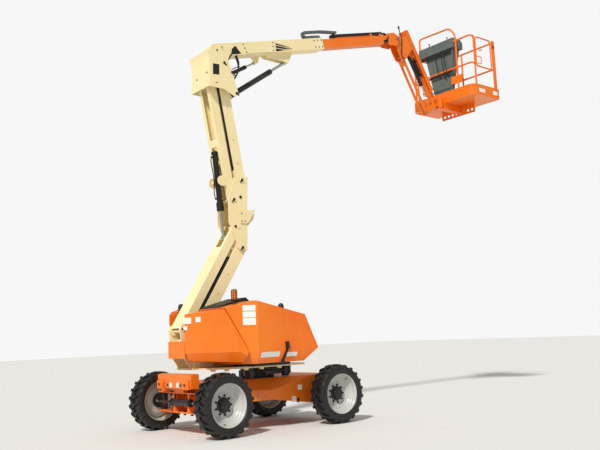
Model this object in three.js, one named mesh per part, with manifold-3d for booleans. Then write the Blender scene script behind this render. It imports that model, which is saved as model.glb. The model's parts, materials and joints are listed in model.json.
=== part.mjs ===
// Articulating boom lift: a four-wheeled chassis with a slewing turntable, a folding two-stage tower,
// a telescoping main boom, a jib and a self-levelling work platform.
// Millimetres, +Z up, +X towards the platform, drive axle under the platform end.
import * as THREE from "three";
import { mergeVertices } from "three/addons/utils/BufferGeometryUtils.js";
import { ConvexGeometry } from "three/addons/geometries/ConvexGeometry.js";
import Module from "manifold-3d";

// ---------------------------------------------------------------- driving dimensions
const TOUCH = 0.3;              // gap between pieces that bear on each other
const PIN_FIT = 0.5;            // radial clearance of a pin in its bore
const SIDE_GAP = 10;            // side clearance between a moving arm and its plates

// running gear
const WHEELBASE = 1870;
const TRACK = 1665;
const TYRE_DIAMETER = 800;
const TYRE_WIDTH = 262;
const RIM_DIAMETER = 546;
const HUB_RADIUS = 78;
const HUB_INNER = 34;           // hub's inner face, inside the tyre's centre plane
const KINGPIN_INSET = 175;      // kingpin to tyre centre plane
const AXLE_BEAM_Z = [290, 540]; // lower and upper plate of the steer axle
const STEER_REST_DEG = 4;
const STEER_ARM = 110;          // steering arm's reach in front of the kingpin
const STEER_ROD_Z = 410;
const STEER_EYE_Y = TRACK / 2 - KINGPIN_INSET - 10;

// chassis
const DECK_Z = 660;
const DECK_HALF = 360;
const SIDE_HALF = 500;
const SHELL_WALL = 12;
const AXLE_SEAT_Z = 505;        // underside of the chassis rails on the drive axle

// turntable
const SWING_X = 170;
const RING_RADIUS = 250;
const RING_TOP = 815;
const PLATE_TOP = 840;
const TAIL_RADIUS = 1200;
const HOOD_SIDE_Y = -950;
const FAR_SIDE_Y = 930;
const BOOM_Y = 200;             // centre plane of the tower and booms
const SLOT_HALF = 275;          // half width of the well between the hoods
const HOOD_WALL = 8;

// tower
const ARM_WIDTH = 260;
const LOWER_LENGTH = 1720;
const LOWER_DEG = 57.8;
const LOWER_FOOT = [-890, 1043];
const LINK_OFFSET = [-60, 300]; // lower link pins seen from the lower arm pins
const UPPER_LENGTH = 1720;
const UPPER_DEG = 100.5;
const UPPER_OFFSET = [-150, -300];
const UPRIGHT_TO_UPPER = [24, 992];
const LOWER_DEPTH = 174;
const LINK_DEPTH = 128;
const UPPER_DEPTH = 170;
const UPPER_LINK_DEPTH = 130;
const TUBE_WALL = 10;
const PIN_RADIUS = 25;
const CYLINDER_SLOT = 140;      // open width through the arms for the cylinders

// main boom, fly and jib
const HEAD_HALF = 250;
const HEAD_PLATE = 16;
const HEAD_TO_BOOM = [-35, 230];
const MAIN_DEG = 14.8;
const MAIN_LENGTH = 2170;
const MAIN_DEPTH = 190;
const MAIN_WIDTH = 220;
const FLY_DEPTH = 150;
const FLY_WIDTH = 180;
const FLY_START = 1320;
const FLY_END = 3930;
const NOSE_X = 4030;            // fly end pivot along the boom
const NOSE_TO_JIB = [406, -25];
const JIB_LENGTH = 1114;
const JIB_DEG = -60;
const JIB_OFFSET = [-262, -267]; // jib link pins seen from the jib arm pins
const JIB_DEPTH = 125;
const JIB_HALF = 32;            // half width of the jib arm
const JIB_TAIL = 288;           // arm beyond its upper pin
const JIB_LINK_DEPTH = 60;
const JIB_LINK_SIDE = [48, 60]; // the link's two bars, from the centre plane
const KNUCKLE_SIDE = [62, 74];  // knuckle plates outside the link
const BRACKET_SIDE = [34, 46];  // end bracket plates inside the link
const HANGER_SIDE = [34, 44];   // hangers of the jib cylinder's foot
const JIB_PIN = 20;

// platform
const ROTATOR_X = 180;          // rotator axis in front of the jib end pin
const ROTATOR_RADIUS = 70;
const SPIGOT_RADIUS = 36;
const BEAM_INSET = 300;         // perforated cross beam behind the platform's front edge
const PLATFORM_REAR = 87;       // platform rear edge in front of the rotator axis
const PLATFORM_DEPTH = 760;
const PLATFORM_WIDTH = 1520;
const PLATFORM_HEIGHT = 1143;   // top of the guard rail above the floor underside
const FLOOR_Z = 0;              // floor underside above the jib end pin
const FLOOR_THICKNESS = 20;
const TOE_HEIGHT = 200;
const TOE_WALL = 6;
const RAIL_RADIUS = 17;
const RAIL_SIDES = 8;
const RAIL_FLAT = RAIL_RADIUS * Math.cos(Math.PI / RAIL_SIDES);   // centre to flat of a faceted rail
const GATE_GAP = 40;            // gate stile's centre to the flat post
const HINGE_GAP = 0.8;          // end of a hinge stub to the post it turns beside
const CORNER_RADIUS = 125;
const FRONT_CORNER = 20;

// ---------------------------------------------------------------- materials
const paint = (color, roughness = 0.45) => new THREE.MeshStandardMaterial({ color, roughness, metalness: 0.1 });
const ORANGE = paint(0xf57c1e);
const CREAM = paint(0xfbe8ae);
const BLACK = paint(0x1b1c1e, 0.6);
const GREY = paint(0x5e6864, 0.6);
const AMBER = new THREE.MeshStandardMaterial({ color: 0xe8761a, roughness: 0.25, metalness: 0 });
const RUBBER = new THREE.MeshStandardMaterial({ color: 0x17181a, roughness: 0.9, metalness: 0 });
const SILVER = new THREE.MeshStandardMaterial({ color: 0xc3c5c6, roughness: 0.4, metalness: 0.8 });
const CHROME = new THREE.MeshStandardMaterial({ color: 0xd8dadc, roughness: 0.12, metalness: 1 });
const IRON = new THREE.MeshStandardMaterial({ color: 0x2c2d2f, roughness: 0.7, metalness: 0.6 });

// ---------------------------------------------------------------- solids
const wasm = await Module();
wasm.setup();
const rad = THREE.MathUtils.degToRad;

// the two y limits of a piece that reaches from inner to outer on one side of the centre plane
const reach = (side, inner, outer) => [side * inner, side * outer].sort((a, b) => a - b);

function solid(geometry) {
  geometry.deleteAttribute("normal");
  geometry.deleteAttribute("uv");
  const merged = mergeVertices(geometry, 1e-3);
  const mesh = new wasm.Mesh({
    numProp: 3,
    vertProperties: new Float32Array(merged.attributes.position.array),
    triVerts: new Uint32Array(merged.index.array),
  });
  return new wasm.Manifold(mesh);
}

function join(...pieces) {
  return pieces.flat().reduce((sum, piece) => sum.add(piece));
}

function block(x0, x1, y0, y1, z0, z1) {
  const box = new THREE.BoxGeometry(x1 - x0, y1 - y0, z1 - z0);
  box.translate((x0 + x1) / 2, (y0 + y1) / 2, (z0 + z1) / 2);
  return solid(box);
}

// an outline in the XZ plane, thick from y0 to y1
function plate(outline, y0, y1) {
  const shape = new THREE.Shape(outline.map(([x, z]) => new THREE.Vector2(x, z)));
  const slab = new THREE.ExtrudeGeometry(shape, { depth: y1 - y0, bevelEnabled: false });
  slab.rotateX(Math.PI / 2);
  slab.translate(0, y1, 0);
  return solid(slab);
}

// an outline in the XY plane, thick from z0 to z1
function slab(outline, z0, z1) {
  const shape = new THREE.Shape(outline.map(([x, y]) => new THREE.Vector2(x, y)));
  const body = new THREE.ExtrudeGeometry(shape, { depth: z1 - z0, bevelEnabled: false });
  body.translate(0, 0, z0);
  return solid(body);
}

function rod(from, to, radius, sides = 16) {
  const start = new THREE.Vector3(...from);
  const end = new THREE.Vector3(...to);
  const body = new THREE.CylinderGeometry(radius, radius, start.distanceTo(end), sides);
  const along = end.clone().sub(start).normalize();
  body.applyQuaternion(new THREE.Quaternion().setFromUnitVectors(new THREE.Vector3(0, 1, 0), along));
  body.translate(...start.add(end).multiplyScalar(0.5).toArray());
  return solid(body);
}

const pinY = (x, z, y0, y1, radius, sides = 16) => rod([x, y0, z], [x, y1, z], radius, sides);

// radius of a faceted bore whose flats clear a pin turning in it
const boreFor = (pinRadius, sides = 16) => (pinRadius + PIN_FIT) / Math.cos(Math.PI / sides);

// a closed profile of [radius, y] turned about Y
function turned(profile, segments = 36) {
  const points = profile.map(([radius, y]) => new THREE.Vector2(radius, y));
  if (THREE.ShapeUtils.area(points) < 0) {
    points.reverse();
  }
  points.push(points[0].clone());
  return solid(new THREE.LatheGeometry(points, segments));
}

// a path whose rings stand exactly at the given stations
class StationPath extends THREE.Curve {
  constructor(stations) {
    super();
    this.stations = stations;
  }

  getPointAt(u) {
    return this.stations[Math.round(u * (this.stations.length - 1))].clone();
  }

  getTangentAt(u) {
    const last = this.stations.length - 1;
    const i = Math.round(u * last);
    const into = this.stations[Math.min(i + 1, last)].clone().sub(this.stations[Math.min(i, last - 1)]);
    const from = this.stations[Math.max(i, 1)].clone().sub(this.stations[Math.max(i - 1, 0)]);
    return into.normalize().add(from.normalize()).normalize();
  }

  getSpacedPoints() {
    return this.stations.map((station) => station.clone());
  }
}

// a round tube along straight runs with rounded corners
function rail(points, radius = RAIL_RADIUS, bend = 60, sides = RAIL_SIDES) {
  const at = points.map((point) => new THREE.Vector3(...point));
  const stations = [at[0]];
  for (let i = 1; i < at.length - 1; i += 1) {
    const before = at[i].clone().add(at[i - 1].clone().sub(at[i]).setLength(bend));
    const after = at[i].clone().add(at[i + 1].clone().sub(at[i]).setLength(bend));
    stations.push(...new THREE.QuadraticBezierCurve3(before, at[i], after).getPoints(3));
  }
  stations.push(at[at.length - 1]);
  const section = new THREE.Shape();
  for (let i = 0; i < sides; i += 1) {
    const angle = (i + 0.5) * 2 * Math.PI / sides;
    const place = i ? "lineTo" : "moveTo";
    section[place](radius * Math.cos(angle), radius * Math.sin(angle));
  }
  const extrudePath = new StationPath(stations);
  return solid(new THREE.ExtrudeGeometry(section, { steps: stations.length - 1, extrudePath }));
}

const root = new THREE.Group();
root.name = "articulating_boom_lift";

// a pivot group stands at a joint, so everything in it is drawn around that joint
function pivot(name, parent, x, y, z, degrees = 0) {
  const group = new THREE.Group();
  group.name = name;
  group.position.set(x, y, z);
  group.rotation.y = -rad(degrees);
  parent.add(group);
  return group;
}

function part(name, parent, body, material) {
  const { vertProperties, triVerts } = body.getMesh();
  const geometry = new THREE.BufferGeometry();
  geometry.setAttribute("position", new THREE.BufferAttribute(new Float32Array(vertProperties), 3));
  geometry.setIndex(new THREE.BufferAttribute(new Uint32Array(triVerts), 1));
  geometry.computeVertexNormals();
  const mesh = new THREE.Mesh(geometry, material);
  mesh.name = name;
  parent.add(mesh);
  return mesh;
}

const add2 = ([ax, az], [bx, bz], scale = 1) => [ax + bx * scale, az + bz * scale];
const ray2 = (length, degrees) => [length * Math.cos(rad(degrees)), length * Math.sin(rad(degrees))];
const angle2 = ([ax, az], [bx, bz]) => THREE.MathUtils.radToDeg(Math.atan2(bz - az, bx - ax));
const span2 = ([ax, az], [bx, bz]) => Math.hypot(bx - ax, bz - az);
const local2 = ([ox, oz], [x, z], degrees) => {
  const c = Math.cos(rad(degrees));
  const s = Math.sin(rad(degrees));
  return [(x - ox) * c + (z - oz) * s, -(x - ox) * s + (z - oz) * c];
};

// ---------------------------------------------------------------- pin positions in the side view
const lowerTop = add2(LOWER_FOOT, ray2(LOWER_LENGTH, LOWER_DEG));
const linkFoot = add2(LOWER_FOOT, LINK_OFFSET);
const linkTop = add2(lowerTop, LINK_OFFSET);
const upperFoot = add2(lowerTop, UPRIGHT_TO_UPPER);
const upperLinkFoot = add2(upperFoot, UPPER_OFFSET);
const upperTop = add2(upperFoot, ray2(UPPER_LENGTH, UPPER_DEG));
const upperLinkTop = add2(upperTop, UPPER_OFFSET);
const boomPin = add2(upperTop, HEAD_TO_BOOM);
const nosePin = add2(boomPin, ray2(NOSE_X, MAIN_DEG));
const jibTop = add2(nosePin, NOSE_TO_JIB);
const jibLinkTop = add2(jibTop, JIB_OFFSET);
const jibEnd = add2(jibTop, ray2(JIB_LENGTH, JIB_DEG));
const rotatorX = jibEnd[0] + ROTATOR_X;

// ---------------------------------------------------------------- chassis
const chassis = pivot("chassis_frame_group", root, 0, 0, 0);

function chassisFrame() {
  const hull = (points) => solid(new ConvexGeometry(points.map((p) => new THREE.Vector3(...p))));
  const both = (points) => points.flatMap(([x, y, z]) => [[x, y, z], [x, -y, z]]);
  // the sloped shoulders fall to their lowest at the middle of each side
  const rearHalf = (inset) => hull(both([
    [-500 + inset, DECK_HALF - inset, DECK_Z - inset], [60, DECK_HALF - inset, DECK_Z - inset],
    [-500 + inset, SIDE_HALF - inset, 540 - inset], [60, SIDE_HALF - inset, 500 - inset],
    [-500 + inset, SIDE_HALF - inset, 375 - inset * 3], [60, SIDE_HALF - inset, 375 - inset * 3],
  ]));
  const frontHalf = (inset) => hull(both([
    [60, DECK_HALF - inset, DECK_Z - inset], [1180 - inset, DECK_HALF - inset, DECK_Z - inset],
    [60, SIDE_HALF - inset, 500 - inset], [780, SIDE_HALF - inset, DECK_Z - inset],
    [1180 - inset, SIDE_HALF - inset, DECK_Z - inset],
    [60, SIDE_HALF - inset, 375 - inset * 3], [780, SIDE_HALF - inset, 275 - inset * 3],
    [1180 - inset, SIDE_HALF - inset, 275 - inset * 3],
  ]));
  const neck = block(-1130, -480, -300, 300, 585, DECK_Z);
  const bumper = block(-1150, -1030, -430, 430, 600, 775);
  const tieEyes = [-1, 1].map((side) => block(-1180, -1140, side * 330 - 70, side * 330 + 70, 590, 700));
  const saddle = block(-1080, -790, -110, 110, AXLE_BEAM_Z[1] + TOUCH, 600);
  const axleSeats = [-1, 1].map((side) => block(WHEELBASE / 2 - 100, WHEELBASE / 2 + 100, side * 440 - 45,
    side * 440 + 45, AXLE_SEAT_Z, DECK_Z - SHELL_WALL + 1));
  const shell = rearHalf(0).add(frontHalf(0));
  const inside = rearHalf(SHELL_WALL).add(frontHalf(SHELL_WALL));
  const axleCut = block(WHEELBASE / 2 - 105, WHEELBASE / 2 + 105, -600, 600, 200, AXLE_SEAT_Z);
  const eyeHoles = [-1, 1].map((side) => pinY(513, 340, side * 520 - 30, side * 520 + 30, 24));
  return join(shell, neck, bumper, tieEyes, saddle).subtract(inside).add(join(axleSeats)).subtract(axleCut)
    .subtract(join(eyeHoles));
}
part("chassis_frame", chassis, chassisFrame(), ORANGE);

function steerAxle() {
  const x = -WHEELBASE / 2;
  const kingpinY = TRACK / 2 - KINGPIN_INSET;
  const [low, high] = AXLE_BEAM_Z;
  const outline = [[x - 90, -kingpinY], [x - 130, -250], [x - 130, 250], [x - 90, kingpinY],
    [x, kingpinY + 60], [x + 90, kingpinY], [x + 120, 250], [x + 120, -250], [x + 90, -kingpinY],
    [x, -kingpinY - 60]];
  const plates = [slab(outline, low - 16, low), slab(outline, high - 16, high)];
  const spine = block(x + 30, x + 70, -480, 480, low - 8, high - 8);
  const kingpins = [-1, 1].map((side) => (
    rod([x, side * kingpinY, low - 60], [x, side * kingpinY, high + 30], PIN_RADIUS)));
  const cylinderFeet = [-1, 1].map((side) => (
    block(x - STEER_ARM - 5, x + 40, side * 180 - 20, side * 180 + 20, low - 8, high - 8)));
  const barrelHole = rod([x - STEER_ARM, -260, STEER_ROD_Z], [x - STEER_ARM, 260, STEER_ROD_Z], 46 + TOUCH);
  return join(plates, spine, kingpins, cylinderFeet).subtract(barrelHole);
}
part("steer_axle_beam", chassis, steerAxle(), ORANGE);

function driveAxle() {
  const x = WHEELBASE / 2;
  const hubFace = TRACK / 2 - HUB_INNER - TOUCH;
  const casing = rod([x, -600, 400], [x, 600, 400], 75, 24);
  const diff = rod([x, -130, 400], [x, 130, 400], 98, 24);
  const flanges = [-1, 1].map((side) => rod([x, side * 590, 400], [x, side * hubFace, 400], 95, 24));
  const pads = [-1, 1].map((side) => (
    block(x - 80, x + 80, side * 440 - 40, side * 440 + 40, 430, AXLE_SEAT_Z - TOUCH)));
  return join(casing, diff, flanges, pads);
}
part("drive_axle", chassis, driveAxle(), IRON);
part("swing_bearing", chassis,
  turned([[RING_RADIUS - 90, DECK_Z + TOUCH], [RING_RADIUS, DECK_Z + TOUCH], [RING_RADIUS, RING_TOP - 60],
    [RING_RADIUS - 25, RING_TOP - 60], [RING_RADIUS - 25, RING_TOP - TOUCH],
    [RING_RADIUS - 90, RING_TOP - TOUCH]])
    .rotate([90, 0, 0]).translate([SWING_X, 0, 0]), IRON);

// steering cylinder: a through rod that pushes both steering arms
const steerRod = pivot("steer_rod_group", root, -WHEELBASE / 2 - STEER_ARM, 0, STEER_ROD_Z);
part("steer_cylinder", steerRod, rod([0, -240, 0], [0, 240, 0], 46)
  .subtract(rod([0, -250, 0], [0, 250, 0], 16 + PIN_FIT)), BLACK);
part("steer_rod", steerRod, join(
  rod([0, -STEER_EYE_Y + 15, 0], [0, STEER_EYE_Y - 15, 0], 16),
  [-1, 1].map((side) => block(-22, 22, side * STEER_EYE_Y - 22, side * STEER_EYE_Y + 22, -14, 14)),
), CHROME);

function knuckle(side) {
  const [low, high] = AXLE_BEAM_Z;
  const reach = side * (KINGPIN_INSET - HUB_INNER - TOUCH);
  const bore = rod([0, 0, low - 500], [0, 0, high], boreFor(PIN_RADIUS));
  const barrel = rod([0, 0, low + TOUCH - 400], [0, 0, high - 16 - TOUCH - 400], 52);
  const spindle = rod([0, 0, 0], [0, reach, 0], 62);
  const flange = rod([0, reach - side * 30, 0], [0, reach, 0], 95, 24);
  const arm = block(-STEER_ARM - 25, 0, side * -10 - 20, side * -10 + 20, 28, 56);
  return join(barrel, spindle, flange, arm).subtract(bore);
}

function tyre() {
  const half = TYRE_WIDTH / 2;
  const outer = TYRE_DIAMETER / 2;
  const bead = RIM_DIAMETER / 2;
  return turned([[bead, half - 22], [bead + 45, half], [outer - 45, half - 4], [outer - 10, half - 26],
    [outer, half - 62], [outer, 62 - half], [outer - 10, 26 - half], [outer - 45, 4 - half],
    [bead + 45, -half], [bead, 22 - half]]);
}

// side is the direction in which the dish faces
function rim(side) {
  const bead = RIM_DIAMETER / 2 - TOUCH;
  const lip = TYRE_WIDTH / 2 - 24;
  const profile = [[0, 30], [HUB_RADIUS - 12, 30], [HUB_RADIUS, 18], [HUB_RADIUS, -24], [165, -24], [190, 4],
    [215, 4], [236, 40], [250, lip], [bead, lip], [bead, -lip], [250, -lip], [225, -70], [150, -60],
    [HUB_RADIUS + 24, -HUB_INNER], [0, -HUB_INNER]];
  return turned(profile.map(([radius, y]) => [radius, side * y]));
}

for (const [end, x] of [["steer", -WHEELBASE / 2], ["drive", WHEELBASE / 2]]) {
  for (const [name, side] of [["near", -1], ["far", 1]]) {
    const kingpinY = side * (TRACK / 2 - KINGPIN_INSET);
    const steering = end === "steer";
    const steer = pivot(`${end}_${name}_steer_group`, root, x, steering ? kingpinY : 0, 400);
    steer.rotation.z = steering ? rad(STEER_REST_DEG) : 0;
    if (steering) {
      part(`steer_knuckle_${name}`, steer, knuckle(side), IRON);
    }
    const wheel = pivot(`${end}_${name}_wheel_group`, steer, 0, side * (steering ? KINGPIN_INSET : TRACK / 2), 0);
    part(`${end}_tyre_${name}`, wheel, tyre(), RUBBER);
    part(`${end}_rim_${name}`, wheel, rim(side), SILVER);
  }
}

// ---------------------------------------------------------------- turntable
const turntable = pivot("swing_group", root, SWING_X, 0, RING_TOP);
const table = pivot("turntable_group", turntable, -SWING_X, 0, -RING_TOP);
const WELL = [BOOM_Y - SLOT_HALF, BOOM_Y + SLOT_HALF];
const WELL_WALL = 12;

function tailDisc(radius, z0, z1) {
  return rod([SWING_X, 0, z0], [SWING_X, 0, z1], radius, 96);
}

function turntableFrame() {
  const base = slab([[-860, -250], [-530, -560], [600, -560], [640, -450], [640, 520], [600, 600], [-530, 600],
    [-860, 420]], RING_TOP, PLATE_TOP);
  const walls = WELL.map((y, i) => plate([[-820, PLATE_TOP - 5], [560, PLATE_TOP - 5], [560, 1100], [300, 1420],
    [-480, 1560], [-820, 1500]], i ? y : y - 12, i ? y + 12 : y));
  const feet = [-1, 1].map((side) => {
    const inner = BOOM_Y + side * (ARM_WIDTH / 2 + SIDE_GAP);
    const outer = inner + side * 18;
    return plate([[LOWER_FOOT[0] + 260, PLATE_TOP - 5], [linkFoot[0] + 60, linkFoot[1] + 80],
      [linkFoot[0] - 50, linkFoot[1] + 70], [linkFoot[0] - 75, linkFoot[1]], [LOWER_FOOT[0] - 70, 960],
      [LOWER_FOOT[0] + 20, PLATE_TOP - 5]], Math.min(inner, outer), Math.max(inner, outer));
  });
  const pins = [LOWER_FOOT, linkFoot].map(([x, z]) => pinY(x, z, BOOM_Y - ARM_WIDTH / 2 - 30,
    BOOM_Y + ARM_WIDTH / 2 + 30, PIN_RADIUS));
  return join(base, walls, feet, pins);
}
part("turntable_frame", table, turntableFrame(), CREAM);

// hood outline in side view: straight facets, low nose, high shoulder behind the beacon
const HOOD_NOSE = [[335, 880], [537, 1050], [325, 1497]];
const HOOD_PEAK = [-475, 1686];
const HOOD_SEAM = [[-475, 880], [-560, 1060]];

const FAR_TAIL_X = -870;        // the far counterweight is cut flat here
function counterweight(near) {
  const disc = tailDisc(TAIL_RADIUS, 930, 1600).subtract(tailDisc(TAIL_RADIUS - 260, 900, 1700));
  const y0 = near ? HOOD_SIDE_Y : WELL[1] + 12 + TOUCH;
  const y1 = near ? WELL[0] - 12 - TOUCH : FAR_SIDE_Y;
  const profile = [[-1200, 1010], [-900, 930], [HOOD_SEAM[0][0] - 140, 905], [HOOD_SEAM[1][0] - 20, 1060],
    [-845, 1590], [-1200, 1520]];
  const lobe = disc.intersect(plate(profile, y0, y1));
  return near ? lobe : lobe.subtract(block(-2000, FAR_TAIL_X, y0 - 10, y1 + 10, 0, 3000));
}
part("counterweight_near", table, counterweight(true), ORANGE);
part("counterweight_far", table, counterweight(false), ORANGE);

function hood(near) {
  const outline = [HOOD_SEAM[0], ...HOOD_NOSE, HOOD_PEAK, [-835, 1600], HOOD_SEAM[1]];
  const yOut = near ? HOOD_SIDE_Y : FAR_SIDE_Y;
  const yIn = near ? WELL[0] - WELL_WALL - TOUCH : WELL[1] + WELL_WALL + TOUCH;
  const span = [Math.min(yOut, yIn), Math.max(yOut, yIn)];
  const outer = plate(outline, ...span).intersect(tailDisc(TAIL_RADIUS, 800, 1800));
  const centre = [-100, 1250];
  const inset = outline.map(([x, z]) => {
    const length = Math.hypot(x - centre[0], z - centre[1]);
    const scale = (length - HOOD_WALL * 1.6) / length;
    return [centre[0] + (x - centre[0]) * scale, centre[1] + (z - centre[1]) * scale];
  });
  const floorCut = [[inset[0][0], 700], [inset[1][0], 700], ...inset.slice(1), inset[0]];
  const hollow = plate(floorCut, span[0] + (near ? HOOD_WALL : -50), span[1] + (near ? 50 : -HOOD_WALL))
    .intersect(tailDisc(TAIL_RADIUS - HOOD_WALL, 600, 1800));
  return outer.subtract(hollow);
}
const HOOD_HINGE_Z = 1700;
const nearHingeY = WELL[0] - WELL_WALL;
const farHingeY = WELL[1] + WELL_WALL;
const nearHoodHinge = pivot("near_hood_group", table, 0, nearHingeY, HOOD_HINGE_Z);
const farHoodHinge = pivot("far_hood_group", table, 0, farHingeY, HOOD_HINGE_Z);
const nearHood = pivot("near_hood_shift", nearHoodHinge, 0, -nearHingeY, -HOOD_HINGE_Z);
const farHood = pivot("far_hood_shift", farHoodHinge, 0, -farHingeY, -HOOD_HINGE_Z);
part("near_hood", nearHood, hood(true), ORANGE);
part("far_hood", farHood, hood(false), ORANGE);
part("engine", table, block(-420, 180, -780, -330, PLATE_TOP + TOUCH, 1300), IRON);
part("hydraulic_tank", table, block(-300, 250, WELL[1] + 60, 850, PLATE_TOP + TOUCH, 1250), BLACK);
const HOOD_FALL = 0.237;
const hoodTop = (x) => HOOD_PEAK[1] - Math.abs(x - HOOD_PEAK[0]) * HOOD_FALL;
part("exhaust_cover", nearHood, plate([[-790, hoodTop(-790) + TOUCH], [-475, HOOD_PEAK[1] + TOUCH],
  [-240, hoodTop(-240) + TOUCH], [-250, 1660], [-360, 1748], [-760, 1640]], -560, WELL[0] - 30), BLACK);
part("beacon", nearHood, join(
  rod([-600, -640, hoodTop(-588) + TOUCH], [-600, -640, 1740], 12, 12),
  rod([-600, -640, 1740], [-600, -640, 1850], 42),
), AMBER);

// ---------------------------------------------------------------- tower
// a hollow arm from pin to pin along X, open through its flanges where a cylinder passes
function arm(length, depth, slots) {
  const half = ARM_WIDTH / 2;
  const outer = block(0, length, -half, half, -depth / 2, depth / 2);
  const inner = block(-200, length + 200, TUBE_WALL - half, half - TUBE_WALL, TUBE_WALL - depth / 2,
    depth / 2 - TUBE_WALL);
  const ends = [0, length].flatMap((x) => [-1, 1].map((side) => {
    const y = side * half;
    return pinY(x, 0, Math.min(y, y - side * 18), Math.max(y, y - side * 18), depth / 2, 24);
  }));
  const cuts = slots.map(([from, to]) => block(from, to, -CYLINDER_SLOT / 2, CYLINDER_SLOT / 2, -depth, depth));
  const endCuts = [0, length].map((x) => block(x - depth, x + (x ? depth : 0), TUBE_WALL + 8 - half,
    half - TUBE_WALL - 8, -depth, depth));
  const bores = [0, length].map((x) => pinY(x, 0, -half - 5, half + 5, boreFor(PIN_RADIUS)));
  return outer.subtract(inner).add(join(ends)).subtract(join(...cuts, ...bores)).subtract(endCuts[0]);
}

const lowerArm = pivot("lower_tower_group", table, LOWER_FOOT[0], BOOM_Y, LOWER_FOOT[1], LOWER_DEG);
part("lower_tower_arm", lowerArm,
  arm(LOWER_LENGTH, LOWER_DEPTH, [[LOWER_LENGTH - 130, LOWER_LENGTH + 200]]), CREAM);
const lowerLink = pivot("lower_link_group", table, linkFoot[0], BOOM_Y, linkFoot[1], LOWER_DEG);
part("lower_tower_link", lowerLink, arm(LOWER_LENGTH, LINK_DEPTH, [[LOWER_LENGTH - 380, LOWER_LENGTH + 200]]),
  CREAM);

const upright = pivot("upright_group", table, lowerTop[0], BOOM_Y, lowerTop[1]);
const ROD_FOOT = [-216, 132];   // tower cylinder rod pin, from the lower arm's top pin
function uprightBody() {
  const outline = [[128, 1044], [87, -42], [-34, -42], [-75, 0], [-120, 158], [-215, 356], [-215, 690],
    [-110, 1023]];
  const inner = ARM_WIDTH / 2 + SIDE_GAP;
  const plates = [-1, 1].map((side) => plate(outline, Math.min(side * inner, side * (inner + HEAD_PLATE)),
    Math.max(side * inner, side * (inner + HEAD_PLATE))));
  const web = plate([[94, 120], [106, 120], [122, 870], [110, 870]], -inner - 1, inner + 1);
  const pins = [[0, 0], LINK_OFFSET, UPRIGHT_TO_UPPER, add2(UPRIGHT_TO_UPPER, UPPER_OFFSET)]
    .map(([x, z]) => pinY(x, z, -inner - HEAD_PLATE - 8, inner + HEAD_PLATE + 8, PIN_RADIUS));
  const lugs = [-1, 1].map((side) => plate([[100, 230], [100, 140], [ROD_FOOT[0], ROD_FOOT[1] - 30],
    [ROD_FOOT[0] - 30, ROD_FOOT[1]], [ROD_FOOT[0], ROD_FOOT[1] + 30], [-60, 215]],
  side > 0 ? 34 : -46, side > 0 ? 46 : -34));
  const rodPin = pinStubs(...ROD_FOOT, 30, 46, 16);
  const rest = join(
    plate([[112, 500], [260, 515], [240, 430], [112, 300]], -110, -98),
    plate([[112, 500], [260, 515], [240, 430], [112, 300]], 98, 110),
    plate([[112, 488], [262, 503], [262, 515], [112, 500]], -110, 110),
  );
  return join(plates, web, pins, lugs, rodPin, rest);
}
part("tower_upright", upright, uprightBody(), CREAM);

const upperArm = pivot("upper_tower_group", table, upperFoot[0], BOOM_Y, upperFoot[1], UPPER_DEG);
part("upper_tower_arm", upperArm,
  arm(UPPER_LENGTH, UPPER_DEPTH, [[-200, 120], [430, UPPER_LENGTH + 200]]), CREAM);

const upperLink = pivot("upper_link_group", table, upperLinkFoot[0], BOOM_Y, upperLinkFoot[1], UPPER_DEG);
const trunnionAt = add2(upperLinkFoot, [-166, 267]);
const TRUNNION = local2(upperLinkFoot, trunnionAt, UPPER_DEG);
function upperLinkBody() {
  const half = ARM_WIDTH / 2;
  const body = arm(UPPER_LENGTH, UPPER_LINK_DEPTH, [[-200, 800], [910, UPPER_LENGTH + 200]]);
  const [tx, tz] = TRUNNION;
  const ears = [-1, 1].map((side) => join(
    pinY(tx, tz, ...reach(side, half - 18, half), 75, 24),
    plate([[tx - 75, tz], [tx - 75, 30], [tx + 75, 30], [tx + 75, tz]], ...reach(side, half - 18, half)),
    pinY(tx, tz, ...reach(side, 52, half), 20),
  ));
  return join(body, ears);
}
part("upper_tower_link", upperLink, upperLinkBody(), CREAM);

function ram(from, eye, radius, eyeRadius, boreRadius) {
  const stem = rod([from, 0, 0], [eye - eyeRadius + 4, 0, 0], radius, 16);
  const end = pinY(eye, 0, -28, 28, eyeRadius);
  return join(stem, end).subtract(pinY(eye, 0, -40, 40, boreFor(boreRadius)));
}

const rodFootAt = add2(lowerTop, ROD_FOOT);
const towerCylinder = pivot("tower_cylinder_group", table, trunnionAt[0], BOOM_Y, trunnionAt[1],
  angle2(trunnionAt, rodFootAt));
const towerReach = span2(trunnionAt, rodFootAt);
function towerBarrel() {
  const trunnionBore = pinY(0, 0, -60, 60, boreFor(20));
  const tube = rod([-450, 0, 0], [420, 0, 0], 40, 20);
  const saddle = block(-45, 45, -51, 51, -34, 34);
  const bore = rod([-400, 0, 0], [430, 0, 0], 22 + PIN_FIT, 16);
  return join(tube, saddle).subtract(bore).subtract(trunnionBore);
}
part("tower_cylinder", towerCylinder, towerBarrel(), BLACK);
part("tower_ram", towerCylinder, ram(40, towerReach, 22, 30, 16), CHROME);

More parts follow.
